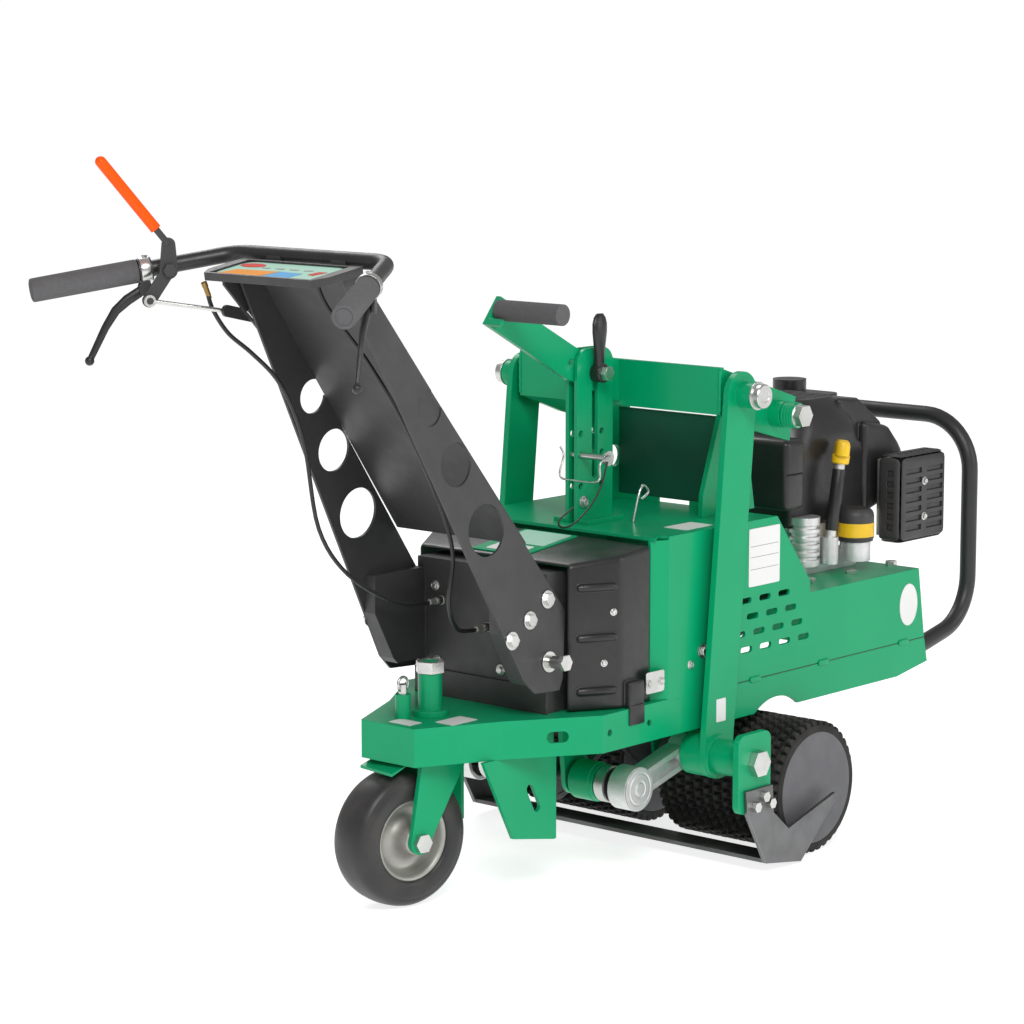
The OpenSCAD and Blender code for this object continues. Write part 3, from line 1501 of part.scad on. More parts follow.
module engine_shroud() color(BLACK) {
    layer(shroud_low_z, shroud_top_z - shroud_low_z) translate([shroud_rear_x, -shroud_half])
        round_rect(shroud_front_x - shroud_rear_x, 2 * shroud_half, cleaner_corner_r);
    difference() {
        translate([engine_x, 0, shroud_top_z]) rotate_extrude() polygon([
            [0, 0], [blower_d / 2, 0], [blower_d / 2, blower_h / 2], [blower_top_r, blower_h], [0, blower_h]]);
        for (k = [-blower_slot_side:blower_slot_side]) {
            half = blower_top_r * cos(blower_slot_turn * k) * blower_slot_share;
            translate([engine_x + k * blower_slot_pitch - blower_slot_w / 2, -half,
                       shroud_top_z + blower_h - blower_slot_depth])
                cube([blower_slot_w, 2 * half, 2 * blower_slot_depth]);
        }
    }
    slab(-front_hood_half, 2 * front_hood_half) polygon([
        [shroud_front_x, shroud_low_z], [shroud_front_x + front_hood_len, shroud_top_z - front_hood_drop],
        [shroud_front_x + front_hood_len, shroud_top_z + blower_h / 2 - front_hood_drop],
        [shroud_front_x, shroud_top_z]]);
}

module air_cleaner() color(BLACK) layer(cleaner_low_z, cleaner_h)
    translate([cleaner_rear_x, cleaner_y - cleaner_half])
    round_rect(cleaner_len, 2 * cleaner_half, cleaner_corner_r);

// Muffler in its slotted guard
module muffler() color(BLACK) {
    inside = muffler_wall + muffler_gap;
    difference() {
        translate([muffler_x, muffler_y, muffler_low_z]) cube([muffler_len, muffler_d, muffler_h]);
        translate([muffler_x + muffler_wall, muffler_y + muffler_wall, muffler_low_z + muffler_wall])
            cube([muffler_len - 2 * muffler_wall, muffler_d, muffler_h - 2 * muffler_wall]);
        count = floor((muffler_h - 2 * inside) / muffler_slot_pitch);
        for (k = [0:count - 1])
            translate([muffler_x + inside, muffler_y - over, muffler_low_z + inside + k * muffler_slot_pitch])
                cube([muffler_len - 2 * inside, muffler_wall + 2 * over, muffler_slot_w]);
    }
    translate([muffler_x + inside, muffler_y + inside, muffler_low_z + inside])
        cube([muffler_len - 2 * inside, -front_hood_half - muffler_y - inside, muffler_h - 2 * inside]);
    // Stays that hold the guard
    for (x = [muffler_x + 2 * inside, muffler_x + muffler_len - 2 * inside])
        translate([x, muffler_y + inside, muffler_low_z + muffler_wall])
            cube([muffler_wall, muffler_d / 2, muffler_gap]);
}

module fuel_tank() color(BLACK) {
    layer(tank_low_z, tank_h) translate([tank_x, tank_y]) round_rect(tank_len, tank_d, tank_corner_r);
    post(fuel_at.x, fuel_at.y, tank_low_z + tank_h, fuel_neck_h, fuel_neck_r);
}

module fuel_cap() color(BLACK) difference() {
    post(fuel_at.x, fuel_at.y, tank_low_z + tank_h + air, fuel_cap_h, fuel_cap_r);
    post(fuel_at.x, fuel_at.y, tank_low_z + tank_h, fuel_neck_h + air, fuel_neck_r + run_fit);
}

platform();
swivel_mounts();
chassis_rails();
side_panels();
body_top();
engine_deck();
uprights();
pivot_shaft();
drive_frame();
front_bumper();
rear_box();
belt_cover();
hood_plate();
handle_plates();
handle_web();
fasteners();
control_tray();
handlebar();
grips();
bar_fittings();
brake_lever_right();
brake_lever_left();
speed_lever();
lever_sleeve();
link_rod();
control_cables();
depth_guide();
depth_pin();
clamp_bolt();
clamp_handle();
yoke();
depth_lever();
depth_grip();
hanger_bushes();
blade_arms();
blade();
blade_bolts();
connecting_rods();
eccentric_shaft();
drum_core();
drum_treads();
gearbox();
gear_shaft();
drive_chains();
input_pulley();
engine_pulley();
drive_belt();
caster_fork();
caster_hardware();
caster_rim();
caster_tyre();
lock_pin();
crankcase();
engine_shroud();
air_cleaner();
muffler();
oil_filter();
dipstick();
fuel_tank();
fuel_cap();
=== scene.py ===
# %% [markdown]
# # Dressing a walk-behind sod cutter
# The machine comes as solids that already have their real size and place. This lesson gives them their
# finishes, and adds the small things that make a machine look used and real: smooth bent tubes, cables,
# bolts, plates, clips and the forms of a small petrol engine. The frame is loaded first.

# %% Load the frame
import json
import math

import bmesh
import bpy
from mathutils import Matrix, Vector


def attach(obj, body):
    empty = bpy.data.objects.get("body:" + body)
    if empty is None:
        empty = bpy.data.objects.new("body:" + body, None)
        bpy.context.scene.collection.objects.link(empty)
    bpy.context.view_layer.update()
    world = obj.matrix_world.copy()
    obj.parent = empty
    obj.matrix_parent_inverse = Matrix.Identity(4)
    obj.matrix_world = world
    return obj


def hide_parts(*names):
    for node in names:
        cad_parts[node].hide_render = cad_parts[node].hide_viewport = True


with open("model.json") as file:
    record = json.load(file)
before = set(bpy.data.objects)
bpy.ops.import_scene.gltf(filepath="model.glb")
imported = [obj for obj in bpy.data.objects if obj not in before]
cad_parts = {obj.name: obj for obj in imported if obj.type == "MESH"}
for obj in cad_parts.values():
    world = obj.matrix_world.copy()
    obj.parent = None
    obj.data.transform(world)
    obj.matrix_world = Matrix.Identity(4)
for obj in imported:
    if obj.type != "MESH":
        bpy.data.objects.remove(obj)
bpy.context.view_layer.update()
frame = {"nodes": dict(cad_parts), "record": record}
print("solids loaded:", len(frame["nodes"]))

# %% [markdown]
# ## Camera
# A long lens from far off keeps the machine's lines nearly parallel, as in a catalogue picture. The
# camera looks at the rear right corner from a little above the handlebar's height. Its turn and rise
# are two angles round the point that it looks at, which is easier to judge than three coordinates.

# %% Camera
MM = 0.001
LOOK_AT = Vector((-144.5, 0.0, 527.7)) * MM
CAMERA_TURN = math.radians(-48.72)
CAMERA_RISE = math.radians(8.68)
CAMERA_DISTANCE = 4.7
LENS = 116.2
SENSOR_WIDTH = 36.0

away = Vector((
    math.cos(CAMERA_RISE) * math.sin(CAMERA_TURN),
    -math.cos(CAMERA_RISE) * math.cos(CAMERA_TURN),
    math.sin(CAMERA_RISE)))
camera_data = bpy.data.cameras.new("camera")
camera_data.lens = LENS
camera_data.sensor_width = SENSOR_WIDTH
camera = bpy.data.objects.new("camera", camera_data)
camera.location = LOOK_AT + CAMERA_DISTANCE * away
camera.rotation_euler = (-away).to_track_quat("-Z", "Y").to_euler()
bpy.context.scene.collection.objects.link(camera)
bpy.context.scene.camera = camera
print("camera at", [round(v, 3) for v in camera.location])

# %% [markdown]
# ## Floor and light
# A catalogue picture has a white ground with hardly a shadow. The floor is pale and glows a little, so
# that it stays white right out to the horizon, and the sky is white where the camera looks at it. As a
# light, the sky is dimmer, which leaves room for three large soft lamps to shape the metal. A view
# transform that keeps colours as they are set makes white stay white. A picture of a studio could light
# the scene, but a script that reads no file needs lamps.

# %% Floor
WHITE = (1.0, 1.0, 1.0, 1.0)
FLOOR_SIZE = 60.0
FLOOR_GREY = 0.62
FLOOR_GLOW = 0.77
bpy.context.scene.view_settings.view_transform = "Standard"

bpy.ops.object.select_all(action="DESELECT")
bpy.ops.mesh.primitive_plane_add(size=FLOOR_SIZE, location=(0.0, 0.0, 0.0))
floor = bpy.context.object
floor.name = "floor"
floor_material = bpy.data.materials.new("pale_floor")
floor_material.use_nodes = True
floor_shader = floor_material.node_tree.nodes["Principled BSDF"]
floor_shader.inputs["Base Color"].default_value = (FLOOR_GREY, FLOOR_GREY, FLOOR_GREY, 1.0)
floor_shader.inputs["Roughness"].default_value = 1.0
floor_shader.inputs["Specular IOR Level"].default_value = 0.0
floor_shader.inputs["Emission Color"].default_value = WHITE
floor_shader.inputs["Emission Strength"].default_value = FLOOR_GLOW
floor.data.materials.append(floor_material)
print("floor:", FLOOR_SIZE, "m wide")

# %% Sky and lamps
SKY_AS_LIGHT = 0.40
SKY_AS_SEEN = 1.02

world = bpy.data.worlds.new("studio")
world.use_nodes = True
sky = world.node_tree.nodes["Background"]
sky.inputs["Color"].default_value = WHITE
light_path = world.node_tree.nodes.new("ShaderNodeLightPath")
strength = world.node_tree.nodes.new("ShaderNodeMapRange")
strength.inputs["To Min"].default_value = SKY_AS_LIGHT
strength.inputs["To Max"].default_value = SKY_AS_SEEN
world.node_tree.links.new(light_path.outputs["Is Camera Ray"], strength.inputs["Value"])
world.node_tree.links.new(strength.outputs["Result"], sky.inputs["Strength"])
bpy.context.scene.world = world


def soft_lamp(name, place, size, power):
    data = bpy.data.lights.new(name, "AREA")
    data.shape = "DISK"
    data.size = size
    data.energy = power
    lamp = bpy.data.objects.new(name, data)
    lamp.location = place
    lamp.rotation_euler = (LOOK_AT - Vector(place)).to_track_quat("-Z", "Y").to_euler()
    bpy.context.scene.collection.objects.link(lamp)


soft_lamp("key", (-2.4, -2.6, 3.2), 1.6, 92.0)
soft_lamp("fill", (1.8, -3.6, 1.8), 2.4, 30.0)
soft_lamp("back", (1.2, 2.8, 3.2), 2.0, 46.0)

# %% [markdown]
# ## Effects that many finishes share
# Sheet metal never has a knife edge: the corner is rounded by the press and the paint. The edges are
# painted lighter, a painted highlight where the rounded corners would catch the light. One node group
# gives the rounded normal and a mask of the edges. Two more give a fine grain, for powder coat, castings
# and moulded plastic, and a cloudy film of dust that lies thicker on faces that look up. Edges could be
# bevelled in each mesh instead, but the solids keep theirs, so the shading does it.


# %% Node tools
def new_group(name, inputs, outputs):
    group = bpy.data.node_groups.new(name, "ShaderNodeTree")
    for label, kind, value in inputs:
        socket = group.interface.new_socket(label, in_out="INPUT", socket_type=kind)
        socket.default_value = value
    for label, kind in outputs:
        group.interface.new_socket(label, in_out="OUTPUT", socket_type=kind)
    return group, group.nodes.new("NodeGroupInput"), group.nodes.new("NodeGroupOutput")


def math_node(tree, operation, first, second=None, clamp=False):
    node = tree.nodes.new("ShaderNodeMath")
    node.operation = operation
    node.use_clamp = clamp
    for socket, value in zip(node.inputs, (first, second)):
        if value is None:
            continue
        if isinstance(value, (int, float)):
            socket.default_value = value
        else:
            tree.links.new(value, socket)
    return node.outputs[0]


def ramp(tree, value, low, high):
    node = tree.nodes.new("ShaderNodeMapRange")
    node.interpolation_type = "SMOOTHSTEP"
    tree.links.new(value, node.inputs["Value"])
    node.inputs["From Min"].default_value = low
    node.inputs["From Max"].default_value = high
    return node.outputs["Result"]


def object_noise(tree, scale, detail):
    place = tree.nodes.new("ShaderNodeTexCoord")
    noise = tree.nodes.new("ShaderNodeTexNoise")
    noise.inputs["Detail"].default_value = detail
    tree.links.new(place.outputs["Object"], noise.inputs["Vector"])
    tree.links.new(scale, noise.inputs["Scale"])
    return noise.outputs["Fac"]


# %% Shared node groups
def build_soft_edges():
    group, given, out = new_group(
        "soft_edges", [("Radius", "NodeSocketFloat", 0.0015)],
        [("Edge", "NodeSocketFloat"), ("Normal", "NodeSocketVector")])
    bevel = group.nodes.new("ShaderNodeBevel")
    bevel.samples = 4
    group.links.new(given.outputs["Radius"], bevel.inputs["Radius"])
    surface = group.nodes.new("ShaderNodeNewGeometry")
    turn = group.nodes.new("ShaderNodeVectorMath")
    turn.operation = "DOT_PRODUCT"
    group.links.new(bevel.outputs["Normal"], turn.inputs[0])
    group.links.new(surface.outputs["Normal"], turn.inputs[1])
    sharp = math_node(group, "SUBTRACT", 1.0, turn.outputs["Value"])
    group.links.new(ramp(group, sharp, 0.01, 0.22), out.inputs["Edge"])
    group.links.new(bevel.outputs["Normal"], out.inputs["Normal"])
    return group


def build_fine_grain():
    group, given, out = new_group(
        "fine_grain", [("Scale", "NodeSocketFloat", 900.0)],
        [("Height", "NodeSocketFloat"), ("Tone", "NodeSocketFloat")])
    small = object_noise(group, given.outputs["Scale"], 2.0)
    wide = object_noise(group, math_node(group, "MULTIPLY", given.outputs["Scale"], 0.06), 3.0)
    group.links.new(small, out.inputs["Height"])
    group.links.new(ramp(group, wide, 0.3, 0.7), out.inputs["Tone"])
    return group


def build_dust_film():
    group, given, out = new_group(
        "dust_film", [("Scale", "NodeSocketFloat", 14.0), ("Upward", "NodeSocketFloat", 0.6)],
        [("Dust", "NodeSocketFloat")])
    cloud = ramp(group, object_noise(group, given.outputs["Scale"], 6.0), 0.42, 0.72)
    surface = group.nodes.new("ShaderNodeNewGeometry")
    split = group.nodes.new("ShaderNodeSeparateXYZ")
    group.links.new(surface.outputs["Normal"], split.inputs[0])
    up = math_node(group, "MAXIMUM", split.outputs["Z"], 0.0)
    weight = math_node(group, "ADD", math_node(group, "MULTIPLY", up, given.outputs["Upward"]), 0.25)
    group.links.new(math_node(group, "MULTIPLY", cloud, weight, True), out.inputs["Dust"])
    return group


SOFT_EDGES = build_soft_edges()
FINE_GRAIN = build_fine_grain()
DUST_FILM = build_dust_film()
print("node groups:", [g.name for g in bpy.data.node_groups])

# %% [markdown]
# ## Finishes
# Every finish follows one recipe: a colour that is lighter on the edges as a painted highlight, a grain
# in the bump, a roughness that drifts with the grain, and a little dust. Only the amounts differ between
# gloss paint, satin paint, moulded plastic, rubber and metal. Numbers that stay the same all over go
# straight on the shader. Each finish could have nodes of its own, but one recipe keeps them alike and
# easy to compare.


# %% The recipe
def place_group(tree, group, **values):
    node = tree.nodes.new("ShaderNodeGroup")
    node.node_tree = group
    for label, value in values.items():
        node.inputs[label].default_value = value
    return node


def mix_colour(tree, share, first, second):
    node = tree.nodes.new("ShaderNodeMix")
    node.data_type = "RGBA"
    tree.links.new(share, node.inputs["Factor"])
    for label, value in (("A", first), ("B", second)):
        socket = [s for s in node.inputs if s.name == label and s.type == "RGBA"][0]
        if isinstance(value, tuple):
            socket.default_value = (*value, 1.0)
        else:
            tree.links.new(value, socket)
    return [s for s in node.outputs if s.type == "RGBA"][0]


DUST_COLOUR = (0.30, 0.27, 0.22)
EDGE_HIGHLIGHT_SHARE = 0.5


def make_finish(name, colour, edge, roughness, *, drift=0.08, grain=900.0, bump=0.05, depth=0.0004,
                tone=0.9, dust=0.1, metallic=0.0, radius=0.0015, coat=0.0, coat_roughness=0.1,
                specular=0.5):
    material = bpy.data.materials.new(name)
    material.use_nodes = True
    tree = material.node_tree
    shader = tree.nodes["Principled BSDF"]
    edges = place_group(tree, SOFT_EDGES, Radius=radius)
    fine = place_group(tree, FINE_GRAIN, Scale=grain)
    film = place_group(tree, DUST_FILM)
    shade = tuple(c * tone for c in colour)
    body = mix_colour(tree, fine.outputs["Tone"], colour, shade)
    # Painted highlight: the edge mask mixes a lighter colour into the edges, where rounded corners would
    # catch the light.
    edge_highlight_share = math_node(tree, "MULTIPLY", edges.outputs["Edge"], EDGE_HIGHLIGHT_SHARE)
    edge_highlit = mix_colour(tree, edge_highlight_share, body, edge)
    dusty = mix_colour(tree, math_node(tree, "MULTIPLY", film.outputs["Dust"], dust), edge_highlit, DUST_COLOUR)
    tree.links.new(dusty, shader.inputs["Base Color"])
    rough = math_node(tree, "ADD", math_node(tree, "MULTIPLY", fine.outputs["Tone"], drift), roughness)
    dull = math_node(tree, "MULTIPLY", film.outputs["Dust"], dust)
    tree.links.new(math_node(tree, "ADD", rough, dull, True), shader.inputs["Roughness"])
    relief = tree.nodes.new("ShaderNodeBump")
    relief.inputs["Strength"].default_value = bump
    relief.inputs["Distance"].default_value = depth
    tree.links.new(fine.outputs["Height"], relief.inputs["Height"])
    tree.links.new(edges.outputs["Normal"], relief.inputs["Normal"])
    tree.links.new(relief.outputs["Normal"], shader.inputs["Normal"])
    shader.inputs["Metallic"].default_value = metallic
    shader.inputs["Coat Weight"].default_value = coat
    shader.inputs["Coat Roughness"].default_value = coat_roughness
    shader.inputs["Specular IOR Level"].default_value = specular
    return material


# %% The machine's finishes
GREEN_PAINT = make_finish(
    "green_gloss_paint", (0.0, 0.345, 0.142), (0.03, 0.55, 0.27), 0.30, drift=0.04, grain=160.0,
    bump=0.03, tone=0.95, dust=0.03, coat=0.08, coat_roughness=0.06, specular=0.20)
BLACK_PAINT = make_finish(
    "black_satin_paint", (0.040, 0.039, 0.041), (0.10, 0.10, 0.10), 0.40, grain=700.0, bump=0.22,
    dust=0.10)
BLACK_PLASTIC = make_finish(
    "black_moulded_plastic", (0.017, 0.016, 0.017), (0.07, 0.07, 0.07), 0.29, grain=1300.0, bump=0.16,
    depth=0.0003, dust=0.08, radius=0.003)
TUBE_PAINT = make_finish(
    "black_tube_paint", (0.020, 0.020, 0.021), (0.08, 0.08, 0.08), 0.36, grain=600.0, bump=0.15,
    dust=0.05)
ZINC = make_finish(
    "bright_zinc", (0.66, 0.66, 0.64), (0.85, 0.85, 0.84), 0.24, drift=0.14, grain=500.0, bump=0.08,
    tone=0.86, dust=0.10, metallic=1.0, radius=0.0008)
SATIN_ZINC = make_finish(
    "satin_zinc", (0.46, 0.45, 0.42), (0.66, 0.65, 0.62), 0.40, drift=0.12, grain=300.0, bump=0.06,
    tone=0.88, dust=0.15, metallic=0.75)
STEEL = make_finish(
    "plain_steel", (0.20, 0.20, 0.205), (0.55, 0.55, 0.55), 0.36, drift=0.16, grain=260.0, bump=0.12,
    tone=0.75, dust=0.25, metallic=1.0)
DISC_PAINT = make_finish(
    "dark_grey_disc_paint", (0.112, 0.112, 0.122), (0.20, 0.20, 0.21), 0.46, grain=520.0, bump=0.2,
    dust=0.15)
FOAM = make_finish(
    "dark_foam", (0.120, 0.117, 0.121), (0.17, 0.17, 0.17), 0.85, drift=0.04, grain=2600.0, bump=0.5,
    depth=0.0003, tone=0.92, dust=0.10, specular=0.2)
ORANGE_DIP = make_finish(
    "orange_dipped_sleeve", (0.92, 0.095, 0.0), (0.95, 0.14, 0.01), 0.34, grain=120.0, bump=0.02,
    tone=0.96, dust=0.0, specular=0.2)
CABLE_JACKET = make_finish(
    "black_cable_jacket", (0.016, 0.016, 0.017), (0.05, 0.05, 0.05), 0.34, grain=900.0, bump=0.1,
    dust=0.05)
BRONZE = make_finish(
    "oiled_bronze", (0.42, 0.26, 0.09), (0.60, 0.42, 0.20), 0.34, grain=400.0, tone=0.8, dust=0.1,
    metallic=1.0)
CAST_ALUMINIUM = make_finish(
    "cast_aluminium", (0.78, 0.78, 0.78), (0.90, 0.90, 0.90), 0.36, drift=0.16, grain=520.0, bump=0.45,
    depth=0.0006, tone=0.84, dust=0.18, metallic=0.85)
TREAD = make_finish(
    "tread_rubber", (0.020, 0.019, 0.019), (0.05, 0.048, 0.046), 0.66, drift=0.15, grain=380.0,
    bump=0.5, depth=0.0006, tone=0.75, dust=0.22, radius=0.002, specular=0.35)
TYRE_RUBBER = make_finish(
    "tyre_rubber", (0.036, 0.034, 0.035), (0.08, 0.08, 0.08), 0.34, drift=0.12, grain=300.0, bump=0.2,
    tone=0.8, dust=0.25, specular=0.4)
CAST_IRON = make_finish(
    "painted_cast_iron", (0.05, 0.05, 0.052), (0.12, 0.12, 0.12), 0.55, grain=420.0, bump=0.6,
    depth=0.0008)
YELLOW_PLASTIC = make_finish(
    "yellow_plastic", (0.90, 0.55, 0.012), (0.95, 0.68, 0.10), 0.30, grain=800.0, bump=0.1, tone=0.92,
    dust=0.05)
print("finishes:", len(bpy.data.materials))

# %% [markdown]
# ## Finishes on the solids
# A solid keeps its mesh, and only what is in its material slots changes. The record says which slot
# each solid takes its finish from, so one small table of slots covers them all but the drum, whose end
# discs are painted.

# %% Finishes on the solids
SLOT_FINISH = {
    "green_paint": GREEN_PAINT,
    "black_paint": BLACK_PAINT,
    "black_plastic": BLACK_PLASTIC,
    "steel": STEEL,
    "zinc": ZINC,
    "foam": FOAM,
    "orange": ORANGE_DIP,
    "cable": CABLE_JACKET,
    "bronze": BRONZE,
    "cast_aluminium": CAST_ALUMINIUM,
    "tread": TREAD,
    "cast_iron": CAST_IRON,
    "yellow": YELLOW_PLASTIC,
}
NODE_FINISH = {"drum_core": DISC_PAINT}
node_slot = {part["node"]: part["material_slot"] for part in frame["record"]["subparts"]}
for node_name, solid in frame["nodes"].items():
    chosen = NODE_FINISH.get(node_name, SLOT_FINISH[node_slot[node_name]])
    solid.data.materials.clear()
    solid.data.materials.append(chosen)
print("solids dressed:", len(frame["nodes"]))

# %% [markdown]
# ## Bent tubes
# The handlebar and the front hoop are single tubes bent cold round a former. A curve along the bent
# centre line with a round bevel gives a tube with an even section, and it is turned into a mesh at the
# end. The bends are arcs worked out from the corner points and one bend radius, just as a tube bender
# is set up. A cylinder could be bent by a modifier, but its section would warp in the bends.


# %% Tube tools
def bent_route(corners, bend, steps):
    points = [Vector(corners[0])]
    for before, corner, after in zip(corners, corners[1:], corners[2:]):
        before, corner, after = Vector(before), Vector(corner), Vector(after)
        come = (corner - before).normalized()
        go = (after - corner).normalized()
        turn = come.angle(go)
        side = (go - come * come.dot(go)).normalized()
        hub = corner - come * bend * math.tan(turn / 2) + side * bend
        for k in range(steps + 1):
            swing = turn * k / steps
            points.append(hub + bend * (math.sin(swing) * come - math.cos(swing) * side))
    points.append(Vector(corners[-1]))
    return points


def smooth_route(points, steps=6):
    points = [Vector(p) for p in points]
    last = len(points) - 1
    route = []
    for i in range(last):
        a, b = points[max(i - 1, 0)], points[i]
        c, d = points[i + 1], points[min(i + 2, last)]
        for k in range(steps):
            t = k / steps
            route.append(0.5 * (2 * b + (c - a) * t + (2 * a - 5 * b + 4 * c - d) * t ** 2
                                + (3 * b - a - 3 * c + d) * t ** 3))
    route.append(points[last])
    return route


def tube_curve(name, route, radius, rings):
    data = bpy.data.curves.new(name, "CURVE")
    data.dimensions = "3D"
    data.bevel_depth = radius
    data.bevel_resolution = rings
    data.use_fill_caps = True
    line = data.splines.new("POLY")
    line.points.add(len(route) - 1)
    for spot, place in zip(line.points, route):
        spot.co = (*place, 1.0)
    line.use_smooth = True
    piece = bpy.data.objects.new(name, data)
    bpy.context.scene.collection.objects.link(piece)
    return piece


# %% Finishing tools
MERGE_DISTANCE = 0.01 * MM
TUBE_SHARP = 50.0


def only(piece):
    bpy.ops.object.select_all(action="DESELECT")
    piece.select_set(True)
    bpy.context.view_layer.objects.active = piece


def done(piece, finish, body, sharp=30.0):
    only(piece)
    bpy.ops.object.transform_apply(location=True, rotation=True, scale=True)
    bpy.ops.object.mode_set(mode="EDIT")
    bpy.ops.mesh.select_all(action="SELECT")
    bpy.ops.mesh.remove_doubles(threshold=MERGE_DISTANCE)
    bpy.ops.mesh.normals_make_consistent(inside=False)
    bpy.ops.object.mode_set(mode="OBJECT")
    piece.data.materials.clear()
    piece.data.materials.append(finish)
    bpy.ops.object.shade_smooth_by_angle(angle=math.radians(sharp))
    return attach(piece, body)


def tube(name, route, radius, finish, body, rings):
    piece = tube_curve(name, route, radius, rings)
    only(piece)
    bpy.ops.object.convert(target="MESH")
    return done(bpy.context.object, finish, body, TUBE_SHARP)


def points_mm(rows):
    return [Vector(row) * MM for row in rows]


# %% Handlebar
BAR_RADIUS = 11.1 * MM
BAR_BEND = 45.0 * MM
bar_corners = points_mm([(-776, 285, 868), (-544, 139, 912), (-544, -139, 912), (-776, -285, 868)])
bar_route = bent_route(bar_corners, BAR_BEND, steps=10)
handlebar = tube("handlebar_tube", bar_route, BAR_RADIUS, TUBE_PAINT, "chassis", rings=7)
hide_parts("handlebar")
print("handlebar:", len(handlebar.data.polygons), "faces")

# %% [markdown]
# ## Control cables
# Two jacketed cables hang down the handle: one from the left lever and one from under the tray. Each
# ends in a stop on the rear box. They are stiff enough to hold a long lazy curve, so a few points
# chosen along the curve are joined by one smooth line. A simulated rope would sag more than these do.

# %% Control cables
CABLE_RADIUS = 3.0 * MM
cable_routes = {
    "left_cable": points_mm([
        (-600, 140, 862), (-592, 138, 838), (-574, 128, 806), (-552, 108, 780), (-522, 92, 745),
        (-494, 88, 700), (-470, 88, 640), (-446, 88, 530), (-392, 86, 460), (-310, 78, 412),
        (-250, 75, 401), (-221, 75, 401)]),
    "right_cable": points_mm([
        (-578, -40, 890), (-560, -44, 850), (-506, -60, 780), (-440, -66, 690), (-372, -64, 580),
        (-338, -62, 500), (-340, -56, 430), (-300, -34, 386), (-250, -15, 373), (-221, -15, 373)]),
}
for cable_name, cable_points in cable_routes.items():
    route = smooth_route(cable_points)
    cable = tube_curve(cable_name, route, CABLE_RADIUS, rings=4)
    cable.data.materials.append(CABLE_JACKET)
    run = sum((b - a).length for a, b in zip(route, route[1:]))
    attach(cable, "chassis")
    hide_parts("control_cables")
    print(cable_name, "is", round(run, 3), "m long")

# %% [markdown]
# ## Modelling tools
# Three small tools make most of the pieces. A prism starts as a filled circle whose corners are moved
# to an outline, and is then extruded. A loft extrudes a ring again and again, and moves each new ring
# to its place and size. A turned piece is a loft of circles along a line, as on a lathe. A bevel
# modifier rounds the edges where a pressing or a moulding would be round.


# %% Rings, prisms and lofts
def start_ring(name, ring):
    bpy.ops.object.select_all(action="DESELECT")
    bpy.ops.mesh.primitive_circle_add(vertices=len(ring), radius=1.0, fill_type="NGON")
    piece = bpy.context.object
    piece.name = name
    piece.data.name = name
    bpy.ops.object.mode_set(mode="EDIT")
    mesh = bmesh.from_edit_mesh(piece.data)
    mesh.verts.ensure_lookup_table()
    for corner, place in zip(mesh.verts, ring):
        corner.co = place
    bmesh.update_edit_mesh(piece.data)
    bpy.ops.mesh.select_all(action="SELECT")
    return piece


def prism(name, outline, depth):
    piece = start_ring(name, outline)
    bpy.ops.mesh.extrude_region_move(TRANSFORM_OT_translate={"value": depth})
    bpy.ops.object.mode_set(mode="OBJECT")
    return piece


def loft(name, rings):
    piece = start_ring(name, rings[0])
    order = list(range(len(rings[0])))
    for ring in rings[1:]:
        bpy.ops.mesh.extrude_region_move(TRANSFORM_OT_translate={"value": (0.0, 0.0, 0.0)})
        mesh = bmesh.from_edit_mesh(piece.data)
        mesh.verts.ensure_lookup_table()
        mesh.verts.index_update()
        fresh = []
        for index in order:
            edges = mesh.verts[index].link_edges
            fresh.append(next(e.other_vert(mesh.verts[index]).index for e in edges
                              if e.other_vert(mesh.verts[index]).select))
        for index, place in zip(fresh, ring):
            mesh.verts[index].co = place
        bmesh.update_edit_mesh(piece.data)
        order = fresh
    bpy.ops.object.mode_set(mode="OBJECT")
    return piece


# %% Turned pieces
def side_axes(along):
    across = along.orthogonal().normalized()
    return across, along.cross(across).normalized()


def circle(centre, across, up, radius, sides):
    steps = [2 * math.pi * k / sides for k in range(sides)]
    return [centre + radius * (math.cos(a) * across + math.sin(a) * up) for a in steps]


def turned(name, base, along, profile, sides):
    along = Vector(along).normalized()
    across, up = side_axes(along)
    return loft(name, [circle(Vector(base) + along * h, across, up, r, sides) for r, h in profile])


# %% Rounding, joining and copying
def rounded(piece, width, segments, angle=30.0):
    only(piece)
    bevel = piece.modifiers.new("round", "BEVEL")
    bevel.width = width
    bevel.segments = segments
    bevel.limit_method = "ANGLE"
    bevel.angle_limit = math.radians(angle)
    bpy.ops.object.modifier_apply(modifier="round")
    return piece


def joined(name, pieces):
    bpy.ops.object.select_all(action="DESELECT")
    for piece in pieces:
        piece.select_set(True)
    bpy.context.view_layer.objects.active = pieces[0]
    bpy.ops.object.join()
    pieces[0].name = name
    pieces[0].data.name = name
    return pieces[0]


def copied(master, name, place):
    piece = master.copy()
    piece.data = master.data.copy()
    piece.name = name
    piece.data.name = name
    bpy.context.scene.collection.objects.link(piece)
    piece.matrix_world = place
    return piece


def hex_head(name, at, along, radius, height):
    at, along = Vector(at), Vector(along).normalized()
    washer = turned(name, at, along, [
        (radius * 1.35, 0.0), (radius * 1.45, height * 0.06), (radius * 1.45, height * 0.2),
        (radius * 1.35, height * 0.26), (radius * 0.5, height * 0.26)], sides=28)
    across, up = side_axes(along)
    head = loft(name + "_head", [
        circle(at + along * height * h, across, up, radius * r, 6)
        for r, h in ((1.0, 0.26), (1.0, 0.92), (0.88, 1.08), (0.6, 1.08), (0.5, 1.0), (0.2, 1.0))])
    return joined(name, [washer, head])


def block(name, low, high):
    low, high = Vector(low), Vector(high)
    outline = [Vector((x, y, low.z)) for x, y in (
        (low.x, low.y), (high.x, low.y), (high.x, high.y), (low.x, high.y))]
    return prism(name, outline, (0.0, 0.0, high.z - low.z))


